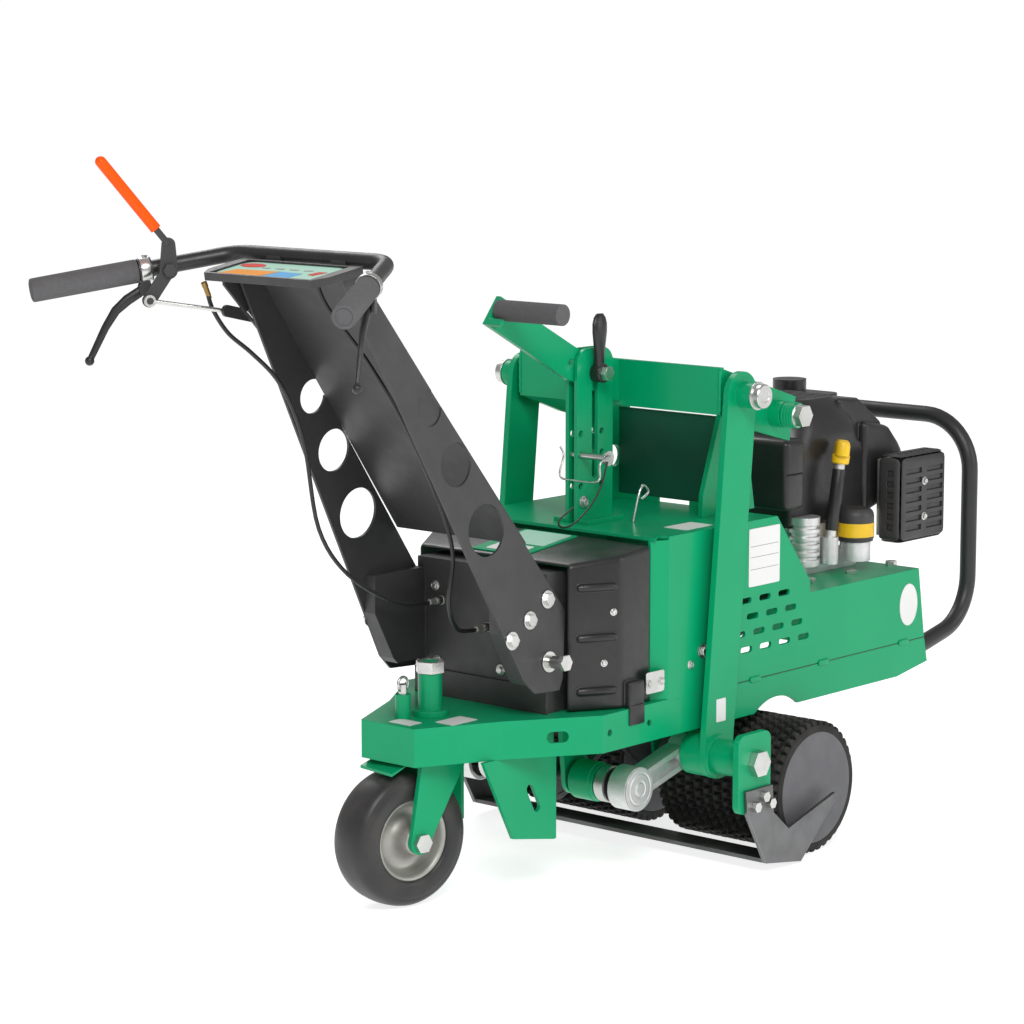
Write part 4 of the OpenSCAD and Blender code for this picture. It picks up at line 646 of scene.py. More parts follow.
# %% [markdown]
# ## Grips and hand levers
# The grips are foam tubes pushed over the bar ends, with a soft round at each end and a moulded button
# in the outer face, and one turned profile gives all of that. The hand levers are cast blades that
# taper from a broad root to a small ball. A bevelled curve would keep one section all along, so each
# lever is a loft of ovals instead.

# %% Grips
SIDES = (("left", 1.0), ("right", -1.0))
GRIP_RADIUS = 16.0 * MM
GRIP_LENGTH = 140.0 * MM
GRIP_ROUND = 3.0 * MM
GRIP_END = 5.0 * MM
BUTTON_GROOVE = 1.2 * MM
BUTTON_EDGE = 0.4 * MM


def bar_end(side):
    end, corner = bar_corners[0].copy(), bar_corners[1].copy()
    end.y *= side
    corner.y *= side
    return end, (end - corner).normalized()


grip_face = GRIP_LENGTH + GRIP_END
for side_name, side in SIDES:
    end, along = bar_end(side)
    grip = turned("grip_" + side_name, end - along * GRIP_LENGTH, along, [
        (BAR_RADIUS, 0.0), (GRIP_RADIUS - GRIP_ROUND, 0.0),
        (GRIP_RADIUS - GRIP_ROUND * 0.3, GRIP_ROUND * 0.3), (GRIP_RADIUS, GRIP_ROUND),
        (GRIP_RADIUS * 1.01, GRIP_LENGTH * 0.5), (GRIP_RADIUS, grip_face - GRIP_ROUND),
        (GRIP_RADIUS - GRIP_ROUND * 0.3, grip_face - GRIP_ROUND * 0.3),
        (GRIP_RADIUS - GRIP_ROUND, grip_face), (GRIP_RADIUS * 0.72, grip_face),
        (GRIP_RADIUS * 0.68, grip_face - BUTTON_GROOVE), (GRIP_RADIUS * 0.6, grip_face - BUTTON_EDGE),
        (0.0, grip_face)], sides=48)
    done(grip, FOAM, "chassis", sharp=40.0)
    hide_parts("grips")
print("grips: 2")

# %% Hand levers
LEVER_PATH = points_mm([
    (-4, 0, 4), (8, 0, -4), (24, 0, -14), (40, 0, -28), (54, 0, -50), (68, 0, -78), (76, 0, -94)])
LEVER_HALF_WIDTHS = [6.6, 7.2, 7.4, 6.4, 5.4, 4.8, 4.4]
LEVER_HALF_THICK = [4.4, 4.6, 4.6, 4.2, 3.9, 3.7, 3.6]
LEVER_BALL = 6.4 * MM
PERCH_BACK = 9.4 * MM
PERCH_DROP = 26.0 * MM
for side_name, side in SIDES:
    end, along = bar_end(side)
    pivot = end - along * (GRIP_LENGTH + PERCH_BACK) - Vector((0.0, 0.0, PERCH_DROP))
    ahead = Vector((along.x, along.y, 0.0)).normalized()
    across = Vector((-ahead.y, ahead.x, 0.0))
    rings = []
    for i, spot in enumerate(LEVER_PATH):
        step = LEVER_PATH[min(i + 1, len(LEVER_PATH) - 1)] - LEVER_PATH[max(i - 1, 0)]
        step = (ahead * step.x + Vector((0.0, 0.0, step.z))).normalized()
        wide = across.cross(step).normalized()
        centre = pivot + ahead * spot.x + Vector((0.0, 0.0, spot.z))
        half_thick = across * LEVER_HALF_THICK[i] * MM
        half_wide = wide * LEVER_HALF_WIDTHS[i] * MM
        rings.append([centre + p for p in circle(Vector(), half_thick, half_wide, 1.0, 20)])
    blade = loft("hand_lever_" + side_name, rings)
    tip = pivot + ahead * LEVER_PATH[-1].x + Vector((0.0, 0.0, LEVER_PATH[-1].z))
    ball = turned("lever_ball", tip - step * LEVER_BALL, step, [
        (LEVER_BALL * math.sin(math.radians(a)), LEVER_BALL * (1 - math.cos(math.radians(a))))
        for a in range(0, 181, 15)], sides=24)
    lever = joined("hand_lever_" + side_name, [blade, ball])
    done(lever, BLACK_PLASTIC, side_name + "_lever", sharp=45.0)
    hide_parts("brake_lever_" + side_name)
print("hand levers: 2")

# %% [markdown]
# ## Caster wheel
# The caster is a solid rubber tyre with round shoulders on a pressed steel rim. Both are turned shapes
# with a hole through them, so the profile runs all the way round the section and the flat caps of the
# loft are deleted. A torus is close to a tyre, but its tread would be too round.


# %% Ring tool
def turned_ring(name, base, along, profile, sides):
    piece = turned(name, base, along, profile + profile[:1], sides)
    only(piece)
    bpy.ops.object.mode_set(mode="EDIT")
    bpy.ops.mesh.select_all(action="DESELECT")
    bpy.ops.mesh.select_face_by_sides(number=4, type="GREATER")
    bpy.ops.mesh.delete(type="FACE")
    bpy.ops.object.mode_set(mode="OBJECT")
    return piece


def both_ways(half_profile):
    return half_profile + [(r, -h) for r, h in reversed(half_profile)]


def profile_mm(rows):
    return [(r * MM, h * MM) for r, h in rows]


# %% Caster tyre and rim
SWIVEL_X = -317.5 * MM
CASTER_TRAIL = 55.0 * MM
CASTER_TURN = math.radians(-9.5)
CASTER_AXLE_Z = 96.5 * MM
turn_caster = Matrix.Rotation(CASTER_TURN, 3, "Z")
wheel_centre = Vector((SWIVEL_X, 0.0, CASTER_AXLE_Z)) + turn_caster @ Vector((-CASTER_TRAIL, 0.0, 0.0))
wheel_axis = turn_caster @ Vector((0.0, 1.0, 0.0))

tyre = turned_ring("caster_tyre_moulded", wheel_centre, wheel_axis, both_ways(profile_mm([
    (57.2, -29.0), (58.5, -33.0), (62.0, -35.2), (68.0, -36.0), (76.0, -35.8), (82.0, -34.6),
    (83.0, -33.6), (84.2, -33.6), (87.0, -32.6), (90.8, -29.4), (93.6, -24.5), (95.3, -17.0), (96.2, -8.0),
    (96.5, -1.0)])), sides=96)
done(tyre, TYRE_RUBBER, "caster_wheel", sharp=50.0)
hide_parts("caster_tyre")

rim = turned_ring("caster_rim_pressed", wheel_centre, wheel_axis, both_ways(profile_mm([
    (8.1, -41.0), (17.0, -41.0), (19.0, -39.0), (19.0, -24.0), (23.0, -15.0), (30.0, -10.0), (39.0, -9.0),
    (45.0, -12.0), (49.0, -20.0), (51.0, -27.0), (53.5, -30.6), (56.5, -31.6), (58.2, -30.4), (57.0, -28.0),
    (56.9, -10.0)])), sides=72)
done(rim, SATIN_ZINC, "caster_wheel", sharp=50.0)
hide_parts("caster_rim")
print("caster wheel at", [round(v, 3) for v in wheel_centre])

# %% [markdown]
# ## Depth clamp handle
# A cam handle locks the depth lever in its slot. It is a glass-filled moulding: a round hub at the
# foot, a narrow neck, and a broad paddle that leans towards the hand. It is one loft of ovals up the
# handle with a hub turned across its foot. It could be sculpted, but ovals are easier to size.

# %% Depth clamp handle
CLAMP_AT = Vector((25.5, -20.4, 714.0)) * MM
CLAMP_HUB_R = 14.0 * MM
CLAMP_HUB_T = 18.0 * MM
PADDLE_SHIFT = -2.0
PADDLE = [
    (0.0, 0.0, 9.5, 7.0), (14.0, -0.5, 8.0, 6.8), (28.0, -1.5, 9.0, 6.6), (44.0, -3.0, 12.0, 6.4),
    (60.0, -4.0, 15.0, 6.2), (72.0, -3.5, 15.0, 6.0), (81.0, -2.5, 12.0, 5.2), (86.5, -2.0, 7.0, 3.2)]
paddle_rings = [
    [CLAMP_AT + Vector((lean + PADDLE_SHIFT, lean, rise)) * MM + p for p in circle(
        Vector(), Vector((wide, 0.0, 0.0)) * MM, Vector((0.0, thick, 0.0)) * MM, 1.0, 24)]
    for rise, lean, wide, thick in PADDLE]
paddle = rounded(loft("clamp_paddle", paddle_rings), 1.5 * MM, 3, 50.0)
hub = turned("clamp_hub", CLAMP_AT - Vector((0.0, CLAMP_HUB_T / 2, 0.0)), (0.0, 1.0, 0.0), [
    (CLAMP_HUB_R * r, CLAMP_HUB_T * h)
    for r, h in ((0.86, 0.0), (1.0, 0.1), (1.0, 0.9), (0.9, 0.995))], sides=36)
clamp_grip = joined("clamp_handle_moulded", [paddle, hub])
done(clamp_grip, BLACK_PLASTIC, "clamp_cam", sharp=40.0)
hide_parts("clamp_handle")
print("clamp handle:", len(clamp_grip.data.polygons), "faces")

# %% [markdown]
# ## Printed plates
# The tray carries a printed control panel, and there are blank label plates on the body. Each colour
# field is a thin sheet of its own with round corners, a fraction of a millimetre proud of the one under
# it, so that its edge catches the light as a real sticker does. One sheet with a picture would be
# quicker, but it would need a file and would have no edges.

# %% Label finishes
WHITE_LABEL = make_finish(
    "white_label", (0.80, 0.80, 0.79), (0.88, 0.88, 0.88), 0.34, grain=60.0, bump=0.02, tone=0.95,
    dust=0.08)
GREY_PRINT = make_finish(
    "grey_print", (0.25, 0.26, 0.27), (0.30, 0.30, 0.30), 0.4, grain=80.0, bump=0.02)


def panel_ink(name, colour, edge, tone):
    return make_finish(name, colour, edge, 0.5, grain=80.0, bump=0.02, tone=tone, dust=0.02, specular=0.08)


PANEL_MINT = panel_ink("panel_mint", (0.42, 0.70, 0.56), (0.60, 0.80, 0.70), 0.94)
PANEL_ORANGE = panel_ink("panel_orange", (0.90, 0.30, 0.0), (0.92, 0.45, 0.10), 0.95)
PANEL_BLUE = panel_ink("panel_blue", (0.10, 0.40, 0.76), (0.25, 0.52, 0.80), 0.95)
PANEL_RED = panel_ink("panel_red", (0.68, 0.035, 0.03), (0.75, 0.15, 0.12), 0.95)
print("printed finishes: 6")

# %% Outlines
CORNER_STEPS = 6
OVAL_STEPS = 36


def round_outline(low, high, radius):
    hubs = (
        (high[0] - radius, high[1] - radius, 0.0), (low[0] + radius, high[1] - radius, 90.0),
        (low[0] + radius, low[1] + radius, 180.0), (high[0] - radius, low[1] + radius, 270.0))
    points = []
    for x, y, from_angle in hubs:
        for k in range(CORNER_STEPS + 1):
            a = math.radians(from_angle + 90.0 * k / CORNER_STEPS)
            points.append((x + radius * math.cos(a), y + radius * math.sin(a)))
    return points


def oval_outline(centre, half_x, half_y):
    angles = [2 * math.pi * k / OVAL_STEPS for k in range(OVAL_STEPS)]
    return [(centre[0] + half_x * math.cos(a), centre[1] + half_y * math.sin(a)) for a in angles]


# %% Control panel on the tray
TRAY_AT = Vector((-644.0, 0.0, 882.7)) * MM
TRAY_TILT = math.radians(-9.3)
TRAY_FLOOR = 7.7
SHEET_T = 0.5
SHEET_GAP = 0.05
tray = Matrix.Translation(TRAY_AT) @ Matrix.Rotation(TRAY_TILT, 4, "Y")


def tray_sheet(name, outline, layer, finish):
    low = TRAY_FLOOR + SHEET_T * layer + SHEET_GAP
    ring = [tray @ (Vector((x, y, low)) * MM) for x, y in outline]
    rise = (tray.to_3x3() @ Vector((0.0, 0.0, SHEET_T))) * MM
    piece = prism(name, ring, rise)
    return done(piece, finish, "chassis")


tray_sheet("panel_base", round_outline((5.6, -92.4), (78.4, 92.4), 20.0), 0, PANEL_MINT)
tray_sheet("panel_orange_field", [(8, 86), (36, 72), (38, -4), (8, 8)], 1, PANEL_ORANGE)
tray_sheet("panel_blue_field", [(8, 6), (38, -6), (36, -48), (8, -44)], 1, PANEL_BLUE)
tray_sheet("panel_red_oval", oval_outline((60, 66), 10, 22), 1, PANEL_RED)
tray_sheet("panel_red_field", [(34, -60), (50, -66), (50, -80), (30, -72)], 1, PANEL_RED)
for k, mark_y in enumerate((34, 8, -18, -44)):
    mark = round_outline((50, mark_y - 8), (54, mark_y + 8), 1.8)
    tray_sheet("panel_mark_%d" % (k + 1), mark, 1, GREY_PRINT)
print("tray sheets: 9")

# %% Blank label plates
PANEL_Y = -187.0
ARM_Y = -210.0
PLATFORM_TOP = 262.0
LABEL_T = 0.6
LINE_T = 0.1


def side_label(name, outline, y, finish, body="chassis", thick=LABEL_T):
    ring = [Vector((x, y, z)) * MM for x, z in outline]
    piece = prism(name, ring, Vector((0.0, -thick if y < 0 else thick, 0.0)) * MM)
    return done(piece, finish, body)


def top_label(name, outline, z):
    ring = [Vector((x, y, z)) * MM for x, y in outline]
    piece = prism(name, ring, Vector((0.0, 0.0, LABEL_T)) * MM)
    return done(piece, WHITE_LABEL, "chassis")


side_label("panel_label", round_outline((166, 399), (241, 485), 3), PANEL_Y, WHITE_LABEL)
for k, z in enumerate((424, 442, 458)):
    line = round_outline((170, z), (237, z + 0.8), 0.3)
    side_label("panel_label_line_%d" % (k + 1), line, PANEL_Y - LABEL_T, GREY_PRINT, thick=LINE_T)
side_label("front_oval_label", oval_outline((578, 318), 24, 33), PANEL_Y, WHITE_LABEL)
side_label("arm_label", round_outline((62, 218), (84, 252), 2), ARM_Y, WHITE_LABEL, "blade_carriage")
top_label("platform_label", round_outline((-352, -74), (-300, -40), 2), PLATFORM_TOP)
print("label plates: 4")

# %% [markdown]
# ## Engine covers
# A small upright-shaft engine hides under moulded covers: a base shroud, a blower housing with a
# slotted top, a hood that carries air forward over the cylinder, and the air cleaner's box at the rear.
# Each cover is a block, a loft or a prism with rounded edges, and the air slots are cut with a boolean,
# as a mould's core leaves them. Thin shells would be truer, but only their outside is seen.


# %% Cutting tool
def cut(piece, cutters):
    tool = joined("cutter", cutters)
    only(piece)
    modifier = piece.modifiers.new("cut", "BOOLEAN")
    modifier.operation = "DIFFERENCE"
    modifier.solver = "EXACT"
    modifier.object = tool
    bpy.ops.object.modifier_apply(modifier="cut")
    bpy.data.objects.remove(tool)
    return piece


def box_mm(name, low, high):
    return block(name, Vector(low) * MM, Vector(high) * MM)


def rounded_rings(levels):
    rings = []
    for z, low, high, radius in levels:
        rings.append([Vector((x, y, z)) * MM for x, y in round_outline(low, high, radius)])
    return rings


# %% Shroud and blower housing
shroud = loft("engine_base_shroud", rounded_rings([
    (446, (408, -84), (596, 84), 18), (450, (404, -88), (600, 88), 20), (520, (404, -88), (600, 88), 20),
    (552, (406, -90), (604, 90), 24), (562, (408, -90), (602, 90), 26), (570, (406, -92), (596, 92), 40),
    (596, (410, -90), (592, 90), 46), (618, (424, -80), (580, 80), 44), (632, (436, -70), (570, 70), 40),
    (638, (444, -62), (562, 62), 34)]))
TOP_SLOT_PITCH = 14
slot_starts = [450 + TOP_SLOT_PITCH * k for k in range(8)]
cut(shroud, [box_mm("slot_cutter", (x, -56, 628), (x + 6, 56, 650)) for x in slot_starts])
done(shroud, BLACK_PLASTIC, "chassis", sharp=35.0)
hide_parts("engine_shroud")
print("shroud:", len(shroud.data.polygons), "faces")

# %% Hood
HOOD_HALF = 92.0
BROW_HALF = 78.0
BROW_SLOT_PITCH = 10


def side_prism(name, outline, half):
    return prism(name, [Vector((x, -half, z)) * MM for x, z in outline], Vector((0.0, 2 * half, 0.0)) * MM)


hood_outline = [(590, 448), (640, 462), (692, 506), (696, 540), (684, 556), (656, 584), (590, 596)]
hood = rounded(side_prism("hood_lower", hood_outline, HOOD_HALF), 9.0 * MM, 4)
brow_outline = [(540, 560), (664, 560), (654, 590), (592, 632), (540, 636)]
brow = rounded(side_prism("hood_brow", brow_outline, BROW_HALF), 7.0 * MM, 4)
slot_starts = [600 + BROW_SLOT_PITCH * k for k in range(5)]
cut(brow, [box_mm("brow_slot", (x, -58, 584), (x + 5, 58, 650)) for x in slot_starts])
hood = joined("engine_hood", [hood, brow])
done(hood, BLACK_PLASTIC, "chassis", sharp=35.0)
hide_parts("engine_shroud")
print("hood:", len(hood.data.polygons), "faces")

# %% Air cleaner
LID_LOW = 536
LID_HIGH = 538.5
cleaner = rounded(box_mm("air_cleaner_box", (354, -114, 481), (404, -10, 590)), 10.0 * MM, 4)
cut(cleaner, [box_mm("lid_line", (350, -118, LID_LOW), (410, -110.5, LID_HIGH)),
              box_mm("lid_line_rear", (350, -118, LID_LOW), (355.5, 0, LID_HIGH))])
done(cleaner, BLACK_PLASTIC, "chassis", sharp=35.0)
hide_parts("air_cleaner")
print("air cleaner:", len(cleaner.data.polygons), "faces")

# %% [markdown]
# ## Muffler and its guard
# The guard is a pressed steel box with rows of slots that keeps hands off the hot muffler. It is a
# bevelled box, hollowed and slotted with one boolean. A bright rim shows behind it where the muffler is
# clamped to the engine. A mask in the material could draw the slots, but real holes show the can behind
# them.

# %% Muffler guard
GUARD_LOW = (602, -153, 405)
GUARD_HIGH = (731, -104, 545)
GUARD_WALL = 3
FACE_SLOT_PITCH = 15
SIDE_HOLE_PITCH = 17
TOP_HOLE_PITCH = 16
guard_core_low = [v + GUARD_WALL for v in GUARD_LOW]
guard_core_high = (GUARD_HIGH[0] - GUARD_WALL, -90, GUARD_HIGH[2] - GUARD_WALL)
guard = rounded(box_mm("muffler_guard", GUARD_LOW, GUARD_HIGH), 13.0 * MM, 4)
cutters = [box_mm("guard_inside", guard_core_low, guard_core_high)]
for row in range(7):
    z = 424 + FACE_SLOT_PITCH * row
    cutters.append(box_mm("slot_left", (616, -160, z), (659, -147, z + 8.5)))
    cutters.append(box_mm("slot_right", (673, -160, z), (717, -147, z + 8.5)))
for row in range(6):
    z = 426 + SIDE_HOLE_PITCH * row
    cutters.append(box_mm("side_hole", (596, -138, z), (738, -126, z + 10)))
for column in range(6):
    x = 620 + TOP_HOLE_PITCH * column
    cutters.append(box_mm("top_hole", (x, -138, 396), (x + 9, -126, 554)))
cut(guard, cutters)
done(guard, BLACK_PAINT, "chassis", sharp=35.0)
print("guard:", len(guard.data.polygons), "faces")

# %% Muffler can and rim
muffler_can = rounded(box_mm("muffler_can", (619, -139, 421), (713, -93, 529)), 12.0 * MM, 4)
done(muffler_can, STEEL, "chassis", sharp=35.0)
muffler_rim = rounded(box_mm("muffler_rim", (612, -105, 414), (720, -99, 536)), 2.0 * MM, 2)
done(muffler_rim, ZINC, "chassis", sharp=35.0)
for piece, slot_name in ((guard, "black_paint"), (muffler_can, "steel"), (muffler_rim, "zinc")):
    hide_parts("muffler")
print("muffler pieces: 3")

# %% [markdown]
# ## Oil filter, dipstick and barrel
# These are the bright spots on the engine: a yellow band round the filter, a yellow dipstick cap with
# two lobes to turn it by, and the ringed barrel of the cylinder. Plain cylinders would do from far off,
# but turned profiles give the rolled edges and the rings. The lobes aren't round, so they are a loft.

# %% Oil filter
FILTER_AT = Vector((527.0, -120.0, 418.0)) * MM
oil_filter = turned("oil_filter_can", FILTER_AT, (0.0, 0.0, 1.0), profile_mm([
    (25.0, 0.0), (28.0, 1.0), (28.0, 4.0), (29.0, 5.0), (29.0, 40.0), (28.2, 44.0), (26.5, 48.0),
    (22.0, 51.5), (10.0, 52.0), (0.0, 52.0)]), sides=48)
done(oil_filter, BLACK_PAINT, "chassis")
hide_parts("oil_filter")
filter_band = turned_ring("oil_filter_band", FILTER_AT, (0.0, 0.0, 1.0), profile_mm([
    (29.0, 8.0), (29.4, 8.4), (29.4, 29.6), (29.0, 30.0)]), sides=48)
done(filter_band, YELLOW_PLASTIC, "chassis")
print("oil filter and its band: 2 pieces")

# %% Dipstick cap
TUBE_LOW = Vector((470.0, -112.0, 416.0)) * MM
TUBE_TOP = Vector((490.0, -117.0, 552.0)) * MM
CAP_SEAT = 10.0 * MM
SLEEVE_RISE = 24.0 * MM
stick_axis = (TUBE_TOP - TUBE_LOW).normalized()
cap_base = TUBE_TOP - CAP_SEAT * stick_axis
skirt = turned_ring("dipstick_skirt", cap_base, stick_axis, profile_mm([
    (8.2, 0.0), (12.0, 0.0), (13.5, 1.5), (14.0, 13.0), (12.0, 14.5), (8.2, 14.5)]), sides=36)
across, up = side_axes(stick_axis)
LOBE_LEVELS = (
    (10.5, 18.0, 9.0), (13.0, 21.0, 11.0), (28.0, 21.0, 10.5), (34.0, 19.0, 9.0), (37.0, 14.0, 6.0))
lobes = loft("dipstick_lobes", [
    [cap_base + stick_axis * h * MM + across * x * MM + up * y * MM
     for x, y in round_outline((-wide, -thick), (wide, thick), thick * 0.9)]
    for h, wide, thick in LOBE_LEVELS])
stick_sleeve = turned_ring("dipstick_sleeve", TUBE_LOW + SLEEVE_RISE * stick_axis, stick_axis, profile_mm([
    (8.1, 0.0), (9.6, 0.4), (10.0, 1.4), (10.0, 94.0), (9.6, 95.0), (8.1, 95.4)]), sides=32)
done(stick_sleeve, BLACK_PLASTIC, "chassis")
dipstick_cap = joined("dipstick_cap", [skirt, lobes])
done(dipstick_cap, YELLOW_PLASTIC, "oil_stick", sharp=40.0)
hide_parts("dipstick")
print("dipstick cap:", len(dipstick_cap.data.polygons), "faces")

# %% Cylinder barrel
BARREL_AT = Vector((432.0, -92.0, 388.0)) * MM
BARREL_R = 24.0
BARREL_ROOT = 20.5
BARREL_H = 76.0
FIN_PITCH = 12
rows = [(BARREL_R, 0.0)]
for k in range(5):
    foot = 10.0 + FIN_PITCH * k
    rows += [(BARREL_R, foot), (BARREL_ROOT, foot + 1.0), (BARREL_ROOT, foot + 5.0), (BARREL_R, foot + 6.0)]
rows += [(BARREL_R, BARREL_H), (0.0, BARREL_H)]
barrel = turned("cylinder_barrel", BARREL_AT, (0.0, 0.0, 1.0), profile_mm(rows), sides=40)
done(barrel, CAST_ALUMINIUM, "chassis")
print("barrel:", len(barrel.data.polygons), "faces")

# %% [markdown]
# ## Front hoop
# One tube bent into a hoop guards the engine, and its legs run back under the deck where they are
# welded on. It could be swept by hand, but the bender's rule that made the handlebar gives it the same
# even section with a larger bend.

# %% Front hoop
HOOP_RADIUS = 13.0 * MM
HOOP_BEND = 85.0 * MM
hoop_corners = points_mm([
    (600, -165, 232), (776, -165, 270), (776, -165, 590),
    (776, 165, 590), (776, 165, 270), (600, 165, 232)])
hoop_route = bent_route(hoop_corners, HOOP_BEND, steps=12)
hoop = tube("front_hoop", hoop_route, HOOP_RADIUS, TUBE_PAINT, "chassis", rings=7)
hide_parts("front_bumper")
print("hoop:", len(hoop.data.polygons), "faces")

# %% [markdown]
# ## Moulded cover
# The black cover between the column and the side panel is a plastic moulding with soft edges and three
# round ribs that stiffen its slanted face. A prism with a wide bevel gives the soft edges. A boolean
# then hollows it from below and behind, as the mould's core would, and each rib is a turned bar half
# sunk in the face.

# %% Moulded cover
COVER_PLAN = [(-186, -141), (-118, -180), (-48, -178), (-48, 178), (-118, 180), (-186, 141)]
CORE_PLAN = [(-200, -129.5), (-117.3, -177), (-36, -174.8), (-36, 174.8), (-117.3, 177), (-200, 129.5)]
COVER_FOOT = 262.2
COVER_REAR_X = -186.0
COVER_REAR_TOP = 472.0
COVER_SLOPE = 16.0 / 138.0
COVER_WALL = 3.0
CORE_BELOW = 20.0


def flat_ring(plan, z):
    return [Vector((x, y, z)) * MM for x, y in plan]


def sloped_ring(plan, rise):
    return [Vector((x, y, COVER_REAR_TOP + (x - COVER_REAR_X) * COVER_SLOPE + rise)) * MM for x, y in plan]


shell = loft("moulded_cover", [flat_ring(COVER_PLAN, COVER_FOOT), sloped_ring(COVER_PLAN, 0.0)])
shell = rounded(shell, 7.0 * MM, 4, 20.0)
core = loft("cover_core", [
    flat_ring(CORE_PLAN, COVER_FOOT - CORE_BELOW), sloped_ring(CORE_PLAN, -COVER_WALL)])
cut(shell, [core])
print("shell:", len(shell.data.polygons), "faces")

# %% Ribs and tab of the cover
RIB_HEIGHTS = (291.4, 367.0, 438.4)
RIB_REAR = (-175.8, 146.9)
RIB_FRONT = (-123.4, 176.9)
TAB_REAR = -109.0
TAB_FRONT = -76.0
TAB_Y = -189.6
ribs = []
for rise in RIB_HEIGHTS:
    for side_name, side in SIDES:
        rib_start = Vector((RIB_REAR[0], RIB_REAR[1] * side, rise)) * MM
        rib_end = Vector((RIB_FRONT[0], RIB_FRONT[1] * side, rise)) * MM
        run = (rib_end - rib_start).length / MM
        ribs.append(turned("cover_rib", rib_start, rib_end - rib_start, profile_mm([
            (1.0, 0.0), (4.2, 1.2), (6.0, 5.0), (6.0, run - 5.0), (4.2, run - 1.2), (1.0, run)]), sides=20))
cover_tab = rounded(box_mm("cover_tab", (TAB_REAR, TAB_Y, 238), (TAB_FRONT, -187.3, 268)), 1.0 * MM, 2)
cover_step = rounded(box_mm("cover_step", (TAB_REAR, TAB_Y, 263), (TAB_FRONT, -176, 300)), 3.0 * MM, 3)
moulded_cover = joined("moulded_cover", [shell, cover_tab, cover_step] + ribs)
done(moulded_cover, BLACK_PLASTIC, "chassis", sharp=35.0)
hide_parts("belt_cover")
print("cover:", len(moulded_cover.data.polygons), "faces")

# %% [markdown]
# ## Bolts and washers
# Bolt heads show how a machine is put together. One head on its washer is modelled once, and each place
# gets a copy with a mesh of its own, scaled to the size of the bolt and turned to stand on its face.
# Modelling each in place would give the same shape with far more code.

# %% Bolts
BOLT_RADIUS = 8.0
BOLT_HEIGHT = 7.0
BOX_REAR = -210.5
LATCH_FACE = -188.5
PERCH_TOP = 15.4
RIGHT, LEFT, REAR, UP = (0, -1, 0), (0, 1, 0), (-1, 0, 0), (0, 0, 1)
SLANT = (-0.497, -0.867, 0)
BOLTS = [
    ("panel_bolt_low", (30, PANEL_Y, 305), RIGHT, 4.5),
    ("panel_bolt_high", (58, PANEL_Y, 321), RIGHT, 7.0),
    ("latch_bolt_rear", (-66, LATCH_FACE, 292), RIGHT, 4.0),
    ("latch_bolt_front", (-38, LATCH_FACE, 292), RIGHT, 4.0),
    ("box_bolt_high", (BOX_REAR, 88, 421), REAR, 5.5),
    ("box_bolt_low", (BOX_REAR, 85, 312), REAR, 5.5),
    ("box_bolt_right", (BOX_REAR, -37, 314), REAR, 5.5),
    ("guard_bolt_high", (666, GUARD_LOW[1], 500), RIGHT, 4.5),
    ("guard_bolt_low", (666, GUARD_LOW[1], 444), RIGHT, 4.5),
    ("cover_screw_high", (-128, -174.3, 402), SLANT, 3.6),
    ("cover_screw_low", (-140, -167.4, 330), SLANT, 3.6),
    ("guide_bolt", (0, -11, 527), RIGHT, 6.5),
    ("hood_bolt", (648, -HOOD_HALF, 520), RIGHT, 4.5),
    ("hood_bolt_left", (648, HOOD_HALF, 520), LEFT, 4.5),
]
bolt_master = hex_head("bolt_master", (0.0, 0.0, 0.0), UP, BOLT_RADIUS * MM, BOLT_HEIGHT * MM)


def bolt(name, at, along, radius):
    turn = Vector(UP).rotation_difference(Vector(along)).to_matrix().to_4x4()
    size = Matrix.Scale(radius / BOLT_RADIUS, 4)
    piece = copied(bolt_master, name, Matrix.Translation(Vector(at) * MM) @ turn @ size)
    done(piece, ZINC, "chassis")


for bolt_name, bolt_at, bolt_along, bolt_size in BOLTS:
    bolt(bolt_name, bolt_at, bolt_along, bolt_size)
for side_name, side in SIDES:
    end, along = bar_end(side)
    perch = (end - along * (GRIP_LENGTH + PERCH_BACK)) / MM
    bolt("perch_screw_" + side_name, perch + Vector((0.0, 0.0, PERCH_TOP)), UP, 4.5)
bpy.data.objects.remove(bolt_master)
latch_outline = round_outline((-72, 277), (-31, 308), 4)
side_label("latch_plate", latch_outline, PANEL_Y, ZINC, thick=PANEL_Y - LATCH_FACE)
print("bolts:", len(BOLTS) + len(SIDES))

# %% [markdown]
# ## Pivot heads and rod caps
# The pins that the yoke and the arms turn on end in round socket heads on washers. Ridged sleeves keep
# the yoke in place on its shaft. Each connecting rod's big end has a turned cap with rings, and the
# shaft that drives it runs in a housing behind a bright lock ring. They are lathe work, so each is a
# profile turned about its pin. Stacked cylinders would hide faces in one another, and one profile does
# not.

# %% Pivot heads and sleeves
HANG_PIN = (117.5, 689.0)
YOKE_SHAFT = (220.5, 651.0)
SLEEVE_BORE = 17.1
SLEEVE_R = 19.0
SLEEVE_ROOT = 18.0
SLEEVE_PITCH = 5


def on_axis(axis, y):
    return Vector((axis[0], y, axis[1])) * MM


